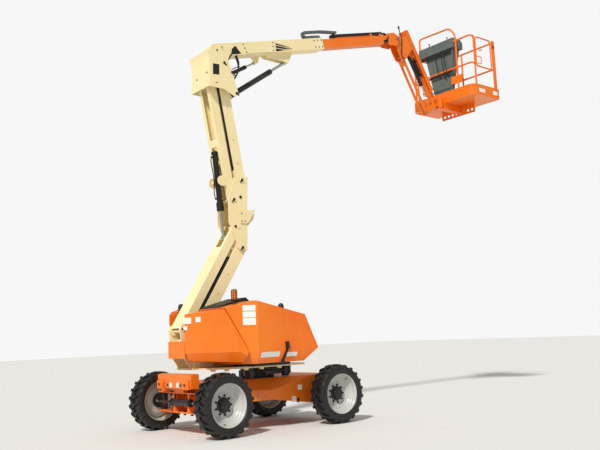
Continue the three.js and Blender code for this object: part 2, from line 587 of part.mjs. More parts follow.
// ---------------------------------------------------------------- head
const head = pivot("head_group", table, upperTop[0], BOOM_Y, upperTop[1]);
const LIFT_FOOT = [205, -428];
const LEVEL_FOOT = [137, -121];
function headBody() {
  const outline = [[-250, -390], [-250, 20], [-280, 140], [31, 311], [222, 318], [140, 240], [75, 60],
    [156, -153], [240, -430], [194, -483], [-9, -394]];
  const inner = HEAD_HALF - HEAD_PLATE;
  const plates = [-1, 1].map((side) => plate(outline, ...reach(side, inner, HEAD_HALF)));
  const back = block(-250, -238, -inner - 1, inner + 1, -380, 10);
  const roof = plate([[-250, 10], [-238, 4], [-268, 140], [-280, 140]], -inner - 1, inner + 1);
  const [footX, footZ] = LIFT_FOOT;
  const keelOutline = [[-240, -360], [-240, -180], [-100, -215], [footX + 10, footZ + 50], [footX + 50, footZ],
    [footX, footZ - 45]];
  const keel = [-1, 1].map((side) => plate(keelOutline, ...reach(side, 46, 58)));
  const liftPin = pinY(...LIFT_FOOT, -58, 58, 22);
  const pins = [[0, 0], UPPER_OFFSET].map(([x, z]) => pinY(x, z, -HEAD_HALF - 6, HEAD_HALF + 6, PIN_RADIUS));
  const spacers = [[0, 0], UPPER_OFFSET].flatMap(([x, z]) => [-1, 1].map((side) => (
    pinY(x, z, ...reach(side, ARM_WIDTH / 2 + 6, inner), 42))));
  const boomPivot = pinY(...HEAD_TO_BOOM, -HEAD_HALF - 6, HEAD_HALF + 6, 30);
  const boomSpacers = [-1, 1].map((side) => (
    pinY(...HEAD_TO_BOOM, ...reach(side, MAIN_WIDTH / 2 + 6, inner), 50)));
  const levelPin = pinY(...LEVEL_FOOT, inner - 100, inner + 1, 16);
  return join(plates, back, roof, keel, liftPin, pins, spacers, boomPivot, boomSpacers, levelPin);
}
part("tower_head", head, headBody(), CREAM);

// ---------------------------------------------------------------- main boom
const mainBoom = pivot("main_boom_group", table, boomPin[0], BOOM_Y, boomPin[1], MAIN_DEG);
const LIFT_PIN = [1343, -241];
const LEVEL_PIN = [861, -166];
const LEVEL_Y = 180;
function mainBoomBody() {
  const halfW = MAIN_WIDTH / 2;
  const halfD = MAIN_DEPTH / 2;
  const wall = 8;
  const outer = join(block(0, MAIN_LENGTH, -halfW, halfW, -halfD, halfD), pinY(0, 0, -halfW, halfW, halfD, 28));
  const inner = block(70, MAIN_LENGTH + 100, wall - halfW, halfW - wall, wall - halfD, halfD - wall);
  const bore = pinY(0, 0, -halfW - 5, halfW + 5, boreFor(30));
  const padsZ = [-1, 1].map((side) => {
    const a = side * (FLY_DEPTH / 2 + TOUCH);
    const b = side * (halfD - wall + 1);
    return block(MAIN_LENGTH - 120, MAIN_LENGTH - 10, -70, 70, Math.min(a, b), Math.max(a, b));
  });
  const padsY = [-1, 1].map((side) => {
    const a = side * (FLY_WIDTH / 2 + TOUCH);
    const b = side * (halfW - wall + 1);
    return block(MAIN_LENGTH - 120, MAIN_LENGTH - 10, Math.min(a, b), Math.max(a, b), -50, 50);
  });
  const [liftX, liftZ] = LIFT_PIN;
  const bracketOutline = [[liftX - 420, -halfD + 5], [liftX + 160, -halfD + 5], [liftX + 45, liftZ],
    [liftX, liftZ - 40], [liftX - 45, liftZ], [liftX - 390, -halfD - 50]];
  const bracket = [-1, 1].map((side) => plate(bracketOutline, ...reach(side, 46, 58)));
  const liftPin = pinStubs(...LIFT_PIN, 44, 58, 22);
  const levelLug = plate([[LEVEL_PIN[0] - 90, -halfD + 20], [LEVEL_PIN[0] + 90, -halfD + 20],
    [LEVEL_PIN[0] + 30, LEVEL_PIN[1] - 20], [LEVEL_PIN[0] - 30, LEVEL_PIN[1] - 20]], halfW - 4, halfW + 12);
  const levelPin = pinY(...LEVEL_PIN, halfW, LEVEL_Y - 22, 14);
  return join(outer.subtract(inner), padsZ, padsY, bracket, levelLug).subtract(bore).add(join(liftPin, levelPin));
}
part("main_boom", mainBoom, mainBoomBody(), CREAM);

const fly = pivot("fly_group", mainBoom, 0, 0, 0);
function flyBody() {
  const halfW = FLY_WIDTH / 2;
  const halfD = FLY_DEPTH / 2;
  const wall = 6;
  const outer = block(FLY_START, FLY_END, -halfW, halfW, -halfD, halfD);
  const inner = block(FLY_START - 10, FLY_END + 10, wall - halfW, halfW - wall, wall - halfD, halfD - wall);
  const slotHalf = KNUCKLE_SIDE[1] + SIDE_GAP / 2;
  const knuckleSlot = block(FLY_END - 260, FLY_END + 10, -slotHalf, slotHalf, -halfD - 5, wall - halfD + 1);
  const cheeks = [-1, 1].map((side) => plate([[FLY_END - 160, -halfD - 20], [FLY_END + 40, -halfD - 60],
    [NOSE_X + 40, -30], [NOSE_X + 40, 40], [FLY_END + 30, halfD + 40], [FLY_END - 160, halfD + 30]],
  ...reach(side, halfW, halfW + 14)));
  const pin = pinY(NOSE_X, 0, -halfW - 14, halfW + 14, PIN_RADIUS);
  return join(outer.subtract(inner).subtract(knuckleSlot), cheeks, pin);
}
part("fly_boom", fly, flyBody(), ORANGE);

// ---------------------------------------------------------------- jib
const knuckleGroup = pivot("jib_knuckle_group", table, nosePin[0], BOOM_Y, nosePin[1]);
const JIB_CYLINDER_FOOT = [-42, -196];   // from the arm's upper pin
const JIB_CYLINDER_EYE = [JIB_LENGTH - 190, -124];
const JIB_CYLINDER_PIN = 14;

// mirrored plates of one outline between two distances from the centre plane
function pairOfPlates(outline, [near, far]) {
  return join(plate(outline, near, far), plate(outline, -far, -near));
}

// mirrored pin stubs that end beside an eye, so the eye may drift between them
function pinStubs(x, z, from, to, radius) {
  return join(pinY(x, z, from, to, radius), pinY(x, z, -to, -from, radius));
}

function jibKnuckle() {
  const link = add2(NOSE_TO_JIB, JIB_OFFSET);
  const outline = [[-50, -45], [-45, 50], [60, 95], [240, 205], [340, 215], [465, 95], [470, -20],
    [link[0] + 95, link[1] - 20], [link[0] + 30, link[1] - 75], [link[0] - 45, link[1] - 60], [10, -210],
    [-30, -110]];
  const hub = pinY(0, 0, -KNUCKLE_SIDE[1], KNUCKLE_SIDE[1], 50, 24);
  const hubBore = pinY(0, 0, -90, 90, boreFor(PIN_RADIUS));
  const pins = [NOSE_TO_JIB, link].map(([x, z]) => (
    pinY(x, z, -KNUCKLE_SIDE[1] - 4, KNUCKLE_SIDE[1] + 4, JIB_PIN)));
  const spacers = pinStubs(...NOSE_TO_JIB, JIB_HALF + 2, KNUCKLE_SIDE[0] + 1, 32);
  const [armX, armZ] = NOSE_TO_JIB;
  const [footX, footZ] = add2(NOSE_TO_JIB, JIB_CYLINDER_FOOT);
  // hangers beside the arm carry the cylinder's foot, clear of the link's bars
  const hangers = pairOfPlates([[armX - 34, armZ + 20], [armX, armZ + 36], [armX + 34, armZ + 20],
    [footX + 26, footZ], [footX, footZ - 26], [footX - 26, footZ]], HANGER_SIDE);
  const footPin = pinY(footX, footZ, -HANGER_SIDE[1], HANGER_SIDE[1], JIB_CYLINDER_PIN);
  return join(pairOfPlates(outline, KNUCKLE_SIDE), hub).subtract(hubBore)
    .add(join(pins, spacers, hangers, footPin));
}
part("jib_knuckle", knuckleGroup, jibKnuckle(), ORANGE);

const jib = pivot("jib_group", table, jibTop[0], BOOM_Y, jibTop[1], JIB_DEG);
function jibArm() {
  const wall = 8;
  const half = JIB_DEPTH / 2;
  const tube = block(-JIB_TAIL, JIB_LENGTH, -JIB_HALF, JIB_HALF, -half, half)
    .add(pinY(JIB_LENGTH, 0, -JIB_HALF, JIB_HALF, half, 28));
  const insideY = JIB_HALF - wall;
  const inside = block(-JIB_TAIL - 10, JIB_LENGTH - 90, -insideY, insideY, wall - half, half - wall);
  const [x, z] = JIB_CYLINDER_EYE;
  const lugOutline = [[x - 70, 1 - half], [x - 24, z - 22], [x + 24, z - 22], [x + 70, 1 - half]];
  const bosses = pinY(0, 0, -JIB_HALF, JIB_HALF, 34);
  const bores = [0, JIB_LENGTH].map((at) => pinY(at, 0, -JIB_HALF - 5, JIB_HALF + 5, boreFor(JIB_PIN)));
  const lugs = join(pairOfPlates(lugOutline, [22, 32]), pinStubs(x, z, 20, 31, JIB_CYLINDER_PIN));
  return join(tube.subtract(inside), bosses, lugs).subtract(join(bores));
}
part("jib_arm", jib, jibArm(), ORANGE);

const jibLink = pivot("jib_link_group", table, jibLinkTop[0], BOOM_Y, jibLinkTop[1], JIB_DEG);
function jibLinkBody() {
  const half = JIB_LINK_DEPTH / 2;
  const [near, far] = JIB_LINK_SIDE;
  const bars = [[near, far], [-far, -near]].map(([y0, y1]) => join(block(0, JIB_LENGTH, y0, y1, -half, half),
    pinY(0, 0, y0, y1, half, 24), pinY(JIB_LENGTH, 0, y0, y1, half, 24)));
  const strap = block(60, 180, -near - 1, near + 1, -half, 8 - half);
  const bores = [0, JIB_LENGTH].map((at) => pinY(at, 0, -far - 5, far + 5, boreFor(JIB_PIN)));
  return join(bars, strap).subtract(join(bores));
}
part("jib_link", jibLink, jibLinkBody(), ORANGE);

const jibEndGroup = pivot("jib_end_group", table, jibEnd[0], BOOM_Y, jibEnd[1]);
function jibEndBody() {
  const [linkX, linkZ] = JIB_OFFSET;
  const outline = [[-20, 30], [10, 36], [ROTATOR_X - 50, 70], [ROTATOR_X - 50, -90], [40, -95],
    [linkX + 45, linkZ - 35], [linkX, linkZ - 38], [linkX - 38, linkZ], [linkX - 20, linkZ + 34],
    [-70, -70]];
  const housing = rod([ROTATOR_X, 0, -100], [ROTATOR_X, 0, 90], ROTATOR_RADIUS, 28);
  const bore = rod([ROTATOR_X, 0, -200], [ROTATOR_X, 0, 200], boreFor(SPIGOT_RADIUS, 24), 24);
  // the link turns on stubs, so the raised arm may pass between them
  const pins = join(pinY(0, 0, -BRACKET_SIDE[1] - 6, BRACKET_SIDE[1] + 6, JIB_PIN),
    pinStubs(linkX, linkZ, BRACKET_SIDE[0], JIB_LINK_SIDE[1] + 6, JIB_PIN));
  return join(pairOfPlates(outline, BRACKET_SIDE), housing, pins).subtract(bore);
}
part("jib_end_bracket", jibEndGroup, jibEndBody(), ORANGE);

// ---------------------------------------------------------------- platform
const platform = pivot("platform_group", table, rotatorX, BOOM_Y, jibEnd[1]);
const REAR = PLATFORM_REAR;
const FRONT = PLATFORM_REAR + PLATFORM_DEPTH;
const HALF = PLATFORM_WIDTH / 2;
const FLOOR_TOP = FLOOR_Z + FLOOR_THICKNESS;
const RAIL_TOP = FLOOR_Z + PLATFORM_HEIGHT;

// the basket's plan: wide corners at the rear, tight ones at the front
function basketOutline(inset) {
  const points = [];
  const corner = (x, y, radius, from) => {
    const cx = x > FRONT - 1 ? x - radius : x + radius;
    const cy = y > 0 ? y - radius : y + radius;
    for (let step = 0; step <= 4; step += 1) {
      const angle = rad(from + step * 22.5);
      points.push([cx + (radius - inset) * Math.cos(angle), cy + (radius - inset) * Math.sin(angle)]);
    }
  };
  corner(FRONT, HALF, FRONT_CORNER, 0);
  corner(REAR, HALF, CORNER_RADIUS, 90);
  corner(REAR, -HALF, CORNER_RADIUS, 180);
  corner(FRONT, -HALF, FRONT_CORNER, 270);
  return points;
}

function platformFloor() {
  const floor = slab(basketOutline(0), FLOOR_Z, FLOOR_TOP);
  const toe = slab(basketOutline(0), FLOOR_Z, FLOOR_Z + TOE_HEIGHT)
    .subtract(slab(basketOutline(TOE_WALL), FLOOR_TOP - 1, FLOOR_Z + TOE_HEIGHT + 5));
  return floor.add(toe);
}
part("platform_floor", platform, platformFloor(), ORANGE);

const GATE_POST_X = REAR + 125;
const FLAT_POST = [FRONT - 106, FRONT - 24];    // wide flat post at the front near corner
const GATE = [GATE_POST_X + GATE_GAP, FLAT_POST[0] - GATE_GAP];
const RAIL_INSET = TOE_WALL + RAIL_RADIUS + TOUCH;
const MID_RAIL = FLOOR_Z + 604;
const CONSOLE_Y = [410 - HALF, HALF - 255];  // room for the corner bends on both sides
const CONSOLE_Z = [RAIL_TOP - 127, RAIL_TOP + 60];
const HOOP_POST_Y = CONSOLE_Y[0] - 50;
const HOOP_TOP = RAIL_TOP + 290;

function platformRails() {
  const x0 = REAR + RAIL_INSET;
  const x1 = FRONT - RAIL_INSET;
  const y0 = -HALF + RAIL_INSET;
  const y1 = HALF - RAIL_INSET;
  const foot = FLOOR_TOP + TOUCH;
  const top = RAIL_TOP - RAIL_RADIUS;
  const post = (x, y) => rail([[x, y, foot], [x, y, top]]);
  const corner = 110;
  const hoopFar = CONSOLE_Y[1] - 20;
  const hoop = [[x0, hoopFar, CONSOLE_Z[1] + TOUCH], [x0, hoopFar, HOOP_TOP], [x0, HOOP_POST_Y + 130, HOOP_TOP - 25],
    [x0, HOOP_POST_Y, RAIL_TOP + 90], [x0, HOOP_POST_Y, foot]];
  return join(
    rail([[GATE_POST_X, y0, top], [x0, y0, top], [x0, CONSOLE_Y[0] - TOUCH, top]], RAIL_RADIUS, corner),
    rail([[x0, CONSOLE_Y[1] + TOUCH, top], [x0, y1, top], [x1, y1, top], [x1, y0, top]], RAIL_RADIUS,
      corner),
    rail([[GATE_POST_X, y0, MID_RAIL], [x0, y0, MID_RAIL], [x0, y1, MID_RAIL], [x1, y1, MID_RAIL],
      [x1, y0, MID_RAIL]], RAIL_RADIUS, corner),
    rail(hoop, RAIL_RADIUS, 70),
    post(GATE_POST_X, y0),
    post(x1, 45),
    post(x1, y1 - 150),
    post(GATE_POST_X, y1),
    post(x0, y1 - 150),
    block(...FLAT_POST, y0 - 8, y0 + 8, foot, RAIL_TOP),
    block(x0 - 4, x0 + 4, HOOP_POST_Y - 100, HOOP_POST_Y + 160, FLOOR_Z + 305, FLOOR_Z + 450),
  );
}
part("platform_rails", platform, platformRails(), ORANGE);

const GATE_FOOT = FLOOR_Z + 560;
const gate = pivot("gate_group", platform, GATE[1], RAIL_INSET - HALF, GATE_FOOT);
function gateBody() {
  const width = GATE[1] - GATE[0];
  const height = RAIL_TOP - GATE_FOOT - RAIL_RADIUS;
  const hinge = (z) => rod([0, 0, z], [GATE_GAP - HINGE_GAP, 0, z], 7, 10);
  const loop = [[0, 0, height / 2], [0, 0, 0], [-width, 0, 0], [-width, 0, height], [0, 0, height],
    [0, 0, height / 2]];
  const handle = [[-width, 0, 60], [150 - width, 0, 60], [150 - width, 0, 190], [-width, 0, 190]];
  return join(rail(loop, RAIL_RADIUS - 3, 70), rail(handle, 8, 20), hinge(120), hinge(height - 120));
}
part("platform_gate", gate, gateBody(), ORANGE);

const SUPPORT_FOOT = -125;      // underside of the beam that carries the platform
function platformSupport() {
  const under = FLOOR_Z - TOUCH;
  const spigot = rod([0, 0, SUPPORT_FOOT], [0, 0, 104], SPIGOT_RADIUS, 24);
  const cap = rod([0, 0, 92], [0, 0, 104], 56, 24);
  const beam = block(-60, FRONT - 120, -60, 60, SUPPORT_FOOT, under)
    .subtract(rod([0, 0, -103], [0, 0, 200], ROTATOR_RADIUS + 18, 28));
  const holeX = FRONT - BEAM_INSET;
  const step = block(holeX - 5, holeX + 5, -400, 400, SUPPORT_FOOT - 60, under);
  const holes = Array.from({ length: 8 }, (_, i) => rod([holeX - 30, -332 + i * 95, -120],
    [holeX + 30, -332 + i * 95, -120], 28, 16));
  return join(beam, step.subtract(join(holes))).add(join(spigot, cap));
}
part("platform_support", platform, platformSupport(), ORANGE);

function consoleBox() {
  const [y0, y1] = CONSOLE_Y;
  const [z0, z1] = CONSOLE_Z;
  const front = REAR + 290;
  const face = plate([[REAR + 2, z0], [front, z0], [front, z1 - 60], [front - 60, z1], [REAR + 2, z1]], y0, y1);
  const back = REAR + RAIL_INSET + RAIL_FLAT + TOUCH;
  const apron = solid(new ConvexGeometry([[y0 + 50, y1 - 130, z0 + 1], [y0 + 113, y1 - 301, FLOOR_Z + 200]]
    .flatMap(([ya, yb, z], low) => [[back, ya, z], [back, yb, z], [front - 40 - low * 150, ya, z],
      [front - 40 - low * 150, yb, z]]).map((p) => new THREE.Vector3(...p))));
  return join(face, apron);
}
part("platform_console", platform, consoleBox(), GREY);

// ---------------------------------------------------------------- boom and jib cylinders
function cylinderPair(name, foot, eye, y, sizes) {
  const group = pivot(`${name}_group`, table, foot[0], y, foot[1], angle2(foot, eye));
  const { front, radius, rodRadius, footPin, eyePin, width } = sizes;
  const tube = join(rod([30, 0, 0], [front, 0, 0], radius, 20), pinY(0, 0, -width, width, footPin + 22));
  const bored = tube.subtract(rod([80, 0, 0], [front + 10, 0, 0], rodRadius + PIN_FIT, 16))
    .subtract(pinY(0, 0, -60, 60, boreFor(footPin)));
  part(`${name}_cylinder`, group, bored, BLACK);
  const reach = span2(foot, eye);
  const stem = rod([sizes.rodStart, 0, 0], [reach - 20, 0, 0], rodRadius, 16);
  const end = pinY(reach, 0, -width, width, eyePin + 14);
  const ramBody = join(stem, end).subtract(pinY(reach, 0, -60, 60, boreFor(eyePin)));
  part(`${name}_ram`, group, ramBody, CHROME);
}
const boomPoint = ([x, z]) => add2(boomPin, [x * Math.cos(rad(MAIN_DEG)) - z * Math.sin(rad(MAIN_DEG)),
  x * Math.sin(rad(MAIN_DEG)) + z * Math.cos(rad(MAIN_DEG))]);
cylinderPair("main_lift", add2(upperTop, LIFT_FOOT), boomPoint(LIFT_PIN), BOOM_Y,
  { front: 990, radius: 42, rodRadius: 24, rodStart: 330, footPin: 22, eyePin: 22, width: 42 });
cylinderPair("level_master", add2(upperTop, LEVEL_FOOT), boomPoint(LEVEL_PIN), BOOM_Y + LEVEL_Y,
  { front: 625, radius: 30, rodRadius: 16, rodStart: 240, footPin: 16, eyePin: 14, width: 20 });
const jibAlong = ([x, z]) => [x * Math.cos(rad(JIB_DEG)) - z * Math.sin(rad(JIB_DEG)),
  x * Math.sin(rad(JIB_DEG)) + z * Math.cos(rad(JIB_DEG))];
cylinderPair("jib_lift", add2(jibTop, JIB_CYLINDER_FOOT), add2(jibTop, jibAlong(JIB_CYLINDER_EYE)), BOOM_Y,
  { front: 600, radius: 32, rodRadius: 18, rodStart: 120, footPin: JIB_CYLINDER_PIN, eyePin: JIB_CYLINDER_PIN,
    width: 18 });

// ---------------------------------------------------------------- frame: centre of the footprint, on the ground
root.updateMatrixWorld(true);
const bounds = new THREE.Box3().setFromObject(root);
const middle = bounds.getCenter(new THREE.Vector3());
root.position.set(-middle.x, -middle.y, -bounds.min.z);
root.updateMatrixWorld(true);

export default root;
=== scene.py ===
"""An articulating boom lift: finishes and small fittings built round its jointed frame."""

import json
import math

import bmesh
import bpy
from mathutils import Matrix, Vector


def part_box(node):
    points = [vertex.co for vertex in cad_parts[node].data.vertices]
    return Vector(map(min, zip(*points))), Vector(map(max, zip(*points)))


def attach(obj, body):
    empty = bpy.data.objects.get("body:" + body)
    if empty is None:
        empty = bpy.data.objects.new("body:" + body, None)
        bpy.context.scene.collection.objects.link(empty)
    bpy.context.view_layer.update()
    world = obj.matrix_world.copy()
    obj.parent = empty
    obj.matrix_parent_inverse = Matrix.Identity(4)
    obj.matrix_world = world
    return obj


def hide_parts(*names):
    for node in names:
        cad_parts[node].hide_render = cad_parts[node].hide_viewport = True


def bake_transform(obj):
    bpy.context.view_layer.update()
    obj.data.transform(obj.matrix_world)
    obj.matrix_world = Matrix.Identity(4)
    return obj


bl_info = {
    "name": "Articulating boom lift",
    "version": (1, 0, 0),
    "blender": (4, 5, 0),
    "location": "3D View > Sidebar > Boom lift",
    "description": "Finishes and small fittings for a jointed boom lift",
    "category": "Add Mesh",
}

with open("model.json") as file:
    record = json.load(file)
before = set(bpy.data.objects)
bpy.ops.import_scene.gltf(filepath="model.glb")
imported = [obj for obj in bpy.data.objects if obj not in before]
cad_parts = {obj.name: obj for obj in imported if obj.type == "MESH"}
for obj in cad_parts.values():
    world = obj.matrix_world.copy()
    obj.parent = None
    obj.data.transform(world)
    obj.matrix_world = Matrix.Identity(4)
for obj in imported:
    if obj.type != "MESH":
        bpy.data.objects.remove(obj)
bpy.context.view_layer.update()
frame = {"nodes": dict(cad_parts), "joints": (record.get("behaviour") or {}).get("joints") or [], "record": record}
JOINTS = {joint["name"]: joint for joint in frame["joints"]}
BODY_OF = {
    node: body
    for body, nodes in frame["record"]["behaviour"]["bodies"].items()
    for node in nodes
}
MM = 0.001


def joint_at(name):
    """Where a joint's axis crosses the plane of its parts."""
    return Vector(JOINTS[name]["pos_m"])


CHASSIS_X = (joint_at("steering_near").x + joint_at("wheel_drive_near_roll").x) / 2
SWING = joint_at("swing")
BOOM_Y = joint_at("tower_lift").y


def at(x, y, z):
    """A point measured from the middle of the chassis, on the ground."""
    return Vector((CHASSIS_X + x, y, z))


# ---------------------------------------------------------------- what a user may change


class BoomLiftColours(bpy.types.PropertyGroup):
    """Finishes that a fleet owner would choose."""

    body: bpy.props.StringProperty(
        name="Body paint", description="Hoods, chassis, fly boom and platform", default="#F2700F"
    )
    boom: bpy.props.StringProperty(
        name="Boom paint", description="Tower and main boom", default="#F6E3AC"
    )
    rim: bpy.props.StringProperty(
        name="Rim paint", description="Wheel rims", default="#B9BAB6"
    )
    console: bpy.props.StringProperty(
        name="Console plastic", description="Control box on the platform", default="#59625D"
    )


class BoomLiftWheels(bpy.types.PropertyGroup):
    """Sizes of the tyres and the rims."""

    lugs: bpy.props.IntProperty(
        name="Lugs a side", description="Tread lugs along each shoulder", default=21, min=8, max=40
    )
    lug_depth: bpy.props.FloatProperty(
        name="Lug depth", description="Height of a lug above the casing", default=0.024,
        min=0.005, max=0.05, unit="LENGTH",
    )
    nuts: bpy.props.IntProperty(
        name="Wheel nuts", description="Nuts that hold each rim", default=9, min=4, max=16
    )


class BoomLiftFittings(bpy.types.PropertyGroup):
    """Sizes shared by the small fittings."""

    edge: bpy.props.FloatProperty(
        name="Edge radius", description="Rounding of sheet and plate edges", default=0.003,
        min=0.0005, max=0.01, unit="LENGTH",
    )
    bolt: bpy.props.FloatProperty(
        name="Bolt head", description="Width across a bolt head", default=0.024,
        min=0.008, max=0.05, unit="LENGTH",
    )
    hose: bpy.props.FloatProperty(
        name="Hose", description="Outside diameter of the hydraulic hoses", default=0.018,
        min=0.006, max=0.04, unit="LENGTH",
    )


class BoomLiftStage(bpy.types.PropertyGroup):
    """Floor and light round the machine."""

    floor: bpy.props.StringProperty(
        name="Floor", description="Colour of the floor", default="#E6E6E3"
    )
    light: bpy.props.FloatProperty(
        name="Key light", description="Strength of the main soft light", default=2.9,
        min=0.0, max=20.0,
    )
    room: bpy.props.FloatProperty(
        name="Room light", description="Strength of the even light from all round", default=0.42,
        min=0.0, max=5.0,
    )


GROUPS = {
    "boom_lift_colours": BoomLiftColours,
    "boom_lift_wheels": BoomLiftWheels,
    "boom_lift_fittings": BoomLiftFittings,
    "boom_lift_stage": BoomLiftStage,
}

# ---------------------------------------------------------------- materials


def linear(hex_code):
    """A shader colour from an sRGB hex value."""
    channels = [int(hex_code[i:i + 2], 16) / 255 for i in (1, 3, 5)]
    return (*[c / 12.92 if c <= 0.04045 else ((c + 0.055) / 1.055) ** 2.4 for c in channels], 1.0)


def add_node(tree, kind, inputs=None, **settings):
    """Adds one node with its settings; an input is a value or the socket that feeds it."""
    made = tree.nodes.new(kind)
    for name, value in settings.items():
        setattr(made, name, value)
    for key, value in (inputs or {}).items():
        if isinstance(value, bpy.types.NodeSocket):
            tree.links.new(value, made.inputs[key])
        else:
            made.inputs[key].default_value = value
    return made


def start_material(name, **shader_values):
    """A material with one Principled shader, its tree and the object coordinates."""
    material = bpy.data.materials.new(name)
    material.use_nodes = True
    tree = material.node_tree
    shader = tree.nodes["Principled BSDF"]
    for key, value in shader_values.items():
        shader.inputs[key.replace("_", " ")].default_value = value
    place = add_node(tree, "ShaderNodeTexCoord")
    return material, tree, shader, place.outputs["Object"]


def noise(tree, place, size, detail=2.0, rough=0.5):
    """Cloudy pattern whose patches are about size metres across."""
    node = add_node(tree, "ShaderNodeTexNoise", {"Vector": place, "Scale": 1 / size,
                                                 "Detail": detail, "Roughness": rough})
    return node.outputs["Fac"]


def spread(tree, value, low, high, to_low=0.0, to_high=1.0):
    """Stretches a pattern between two levels."""
    node = add_node(tree, "ShaderNodeMapRange", {"Value": value, "From Min": low, "From Max": high,
                                                 "To Min": to_low, "To Max": to_high})
    return node.outputs["Result"]


def times(tree, a, b):
    """Product of two patterns."""
    return add_node(tree, "ShaderNodeMath", {0: a, 1: b}, operation="MULTIPLY").outputs["Value"]


def mixed(tree, share, first, second):
    """One colour over another by a pattern's share."""
    node = add_node(tree, "ShaderNodeMix", {"Factor": share, "A": first, "B": second},
                    data_type="RGBA")
    return node.outputs["Result"]


def bumped(tree, shader, height, depth, strength=1.0):
    """Gives the shader a relief of the given depth in metres."""
    node = add_node(tree, "ShaderNodeBump", {"Height": height, "Distance": depth,
                                             "Strength": strength})
    tree.links.new(node.outputs["Normal"], shader.inputs["Normal"])
    return node


def painted_steel(name, colour, faded, rub, gloss=0.36):
    """Baked powder coat on plate: even colour, soft gloss, a faint orange peel, rubbed edges and
    thin dust where water dries on top faces."""
    material, tree, shader, place = start_material(name, IOR=1.5)
    cloud = spread(tree, noise(tree, place, 0.55, 3.0), 0.35, 0.7)
    paint = mixed(tree, times(tree, cloud, 0.55), linear(colour), linear(faded))
    runs = add_node(tree, "ShaderNodeMapping", {"Vector": place, "Scale": (1.0, 1.0, 0.06)})
    streak = spread(tree, noise(tree, runs.outputs["Vector"], 0.035, 4.0), 0.58, 0.82, 0.0, 0.16)
    paint = mixed(tree, streak, paint, linear("#6B4A2C"))
    upward = add_node(tree, "ShaderNodeTexCoord")
    split = add_node(tree, "ShaderNodeSeparateXYZ", {"Vector": upward.outputs["Normal"]})
    top = spread(tree, split.outputs["Z"], 0.55, 0.95)
    speckle = spread(tree, noise(tree, place, 0.02, 5.0, 0.65), 0.42, 0.7)
    paint = mixed(tree, times(tree, times(tree, top, speckle), 0.22), paint, linear("#B9A98C"))
    edge = add_node(tree, "ShaderNodeAttribute", attribute_name="worn_edge")
    chips = spread(tree, noise(tree, place, 0.012, 4.0, 0.7), 0.5, 0.62)
    paint = mixed(tree, times(tree, times(tree, edge.outputs["Fac"], chips), 0.55), paint,
                  linear(rub))
    tree.links.new(paint, shader.inputs["Base Color"])
    tree.links.new(spread(tree, speckle, 0.0, 1.0, gloss - 0.04, gloss + 0.1),
                   shader.inputs["Roughness"])
    # orange peel is 1 to 2 mm across, drawn at 5 mm so that it shows
    bumped(tree, shader, noise(tree, place, 5 * MM, 1.0), 0.25 * MM, 0.35)
    return material


def mottled(name, colours, share, cloud, levels, gloss, **shader_values):
    """A material of two colours in patches, its gloss following the patches."""
    material, tree, shader, place = start_material(name, **shader_values)
    patches = spread(tree, noise(tree, place, *cloud), *levels)
    base = mixed(tree, times(tree, patches, share), *[linear(colour) for colour in colours])
    tree.links.new(base, shader.inputs["Base Color"])
    tree.links.new(spread(tree, patches, 0.0, 1.0, *gloss), shader.inputs["Roughness"])
    return material, tree, shader, place


def tyre_rubber(name):
    """Cured tread rubber: near black, dull, dusted grey-brown in patches."""
    material, tree, shader, place = mottled(
        name, ("#100F0E", "#3A342E"), 0.3, (0.06, 5.0, 0.65), (0.42, 0.72), (0.42, 0.75), IOR=1.52)
    # moulding texture of about 1 mm, drawn at 4 mm
    bumped(tree, shader, noise(tree, place, 4 * MM, 2.0), 0.5 * MM, 0.5)
    return material


def moulded_plastic(name, colour, second, roughness, grain=3 * MM):
    """Injection or rotationally moulded plastic: one colour through, leathery grain, dull gloss."""
    material, tree, shader, place = mottled(
        name, (colour, second), 0.5, (0.09, 3.0), (0.35, 0.7),
        (roughness - 0.06, roughness + 0.08), IOR=1.49)
    cells = add_node(tree, "ShaderNodeTexVoronoi", {"Vector": place, "Scale": 1 / grain},
                     feature="SMOOTH_F1")
    bumped(tree, shader, cells.outputs["Distance"], 0.3 * MM, 0.3)
    return material


def metal(name, colour, dull, roughness, scratch=6 * MM):
    """Bare or plated metal: mirror-like under fine turned or rolled marks."""
    material, tree, shader, place = mottled(
        name, (colour, dull), 0.6, (0.03, 4.0), (0.4, 0.7), (roughness, roughness + 0.14),
        Metallic=1.0)
    bumped(tree, shader, noise(tree, place, scratch, 3.0), 0.08 * MM, 0.2)
    return material


def cast_iron(name, colour="#1B1B1C"):
    """Sand-cast iron under thin black paint: coarse skin, low gloss, brown dust."""
    material, tree, shader, place = mottled(
        name, (colour, "#4A3D2F"), 0.6, (0.05, 5.0, 0.7), (0.45, 0.75), (0.42, 0.75),
        Metallic=0.0, IOR=1.5)
    bumped(tree, shader, noise(tree, place, 6 * MM, 3.0, 0.6), 0.8 * MM, 0.6)
    return material


def hose_rubber(name):
    """Synthetic rubber hose cover: black, cloth-marked, slightly glossy."""
    material, tree, shader, place = mottled(
        name, ("#101011", "#2C2B2A"), 0.5, (0.02, 3.0), (0.45, 0.75), (0.38, 0.6), IOR=1.5)
    weave = add_node(tree, "ShaderNodeTexVoronoi", {"Vector": place, "Scale": 1 / (4 * MM)})
    bumped(tree, shader, weave.outputs["Distance"], 0.3 * MM, 0.4)
    return material


def vinyl_plate(name, colour="#F1EFEA"):
    """Blank vinyl plate: smooth white film, a little grubby."""
    material, tree, shader, place = mottled(
        name, (colour, "#B8AF9F"), 0.3, (0.03, 4.0), (0.5, 0.8), (0.3, 0.5), IOR=1.46)
    bumped(tree, shader, noise(tree, place, 0.04, 1.0), 0.15 * MM, 0.2)
    return material


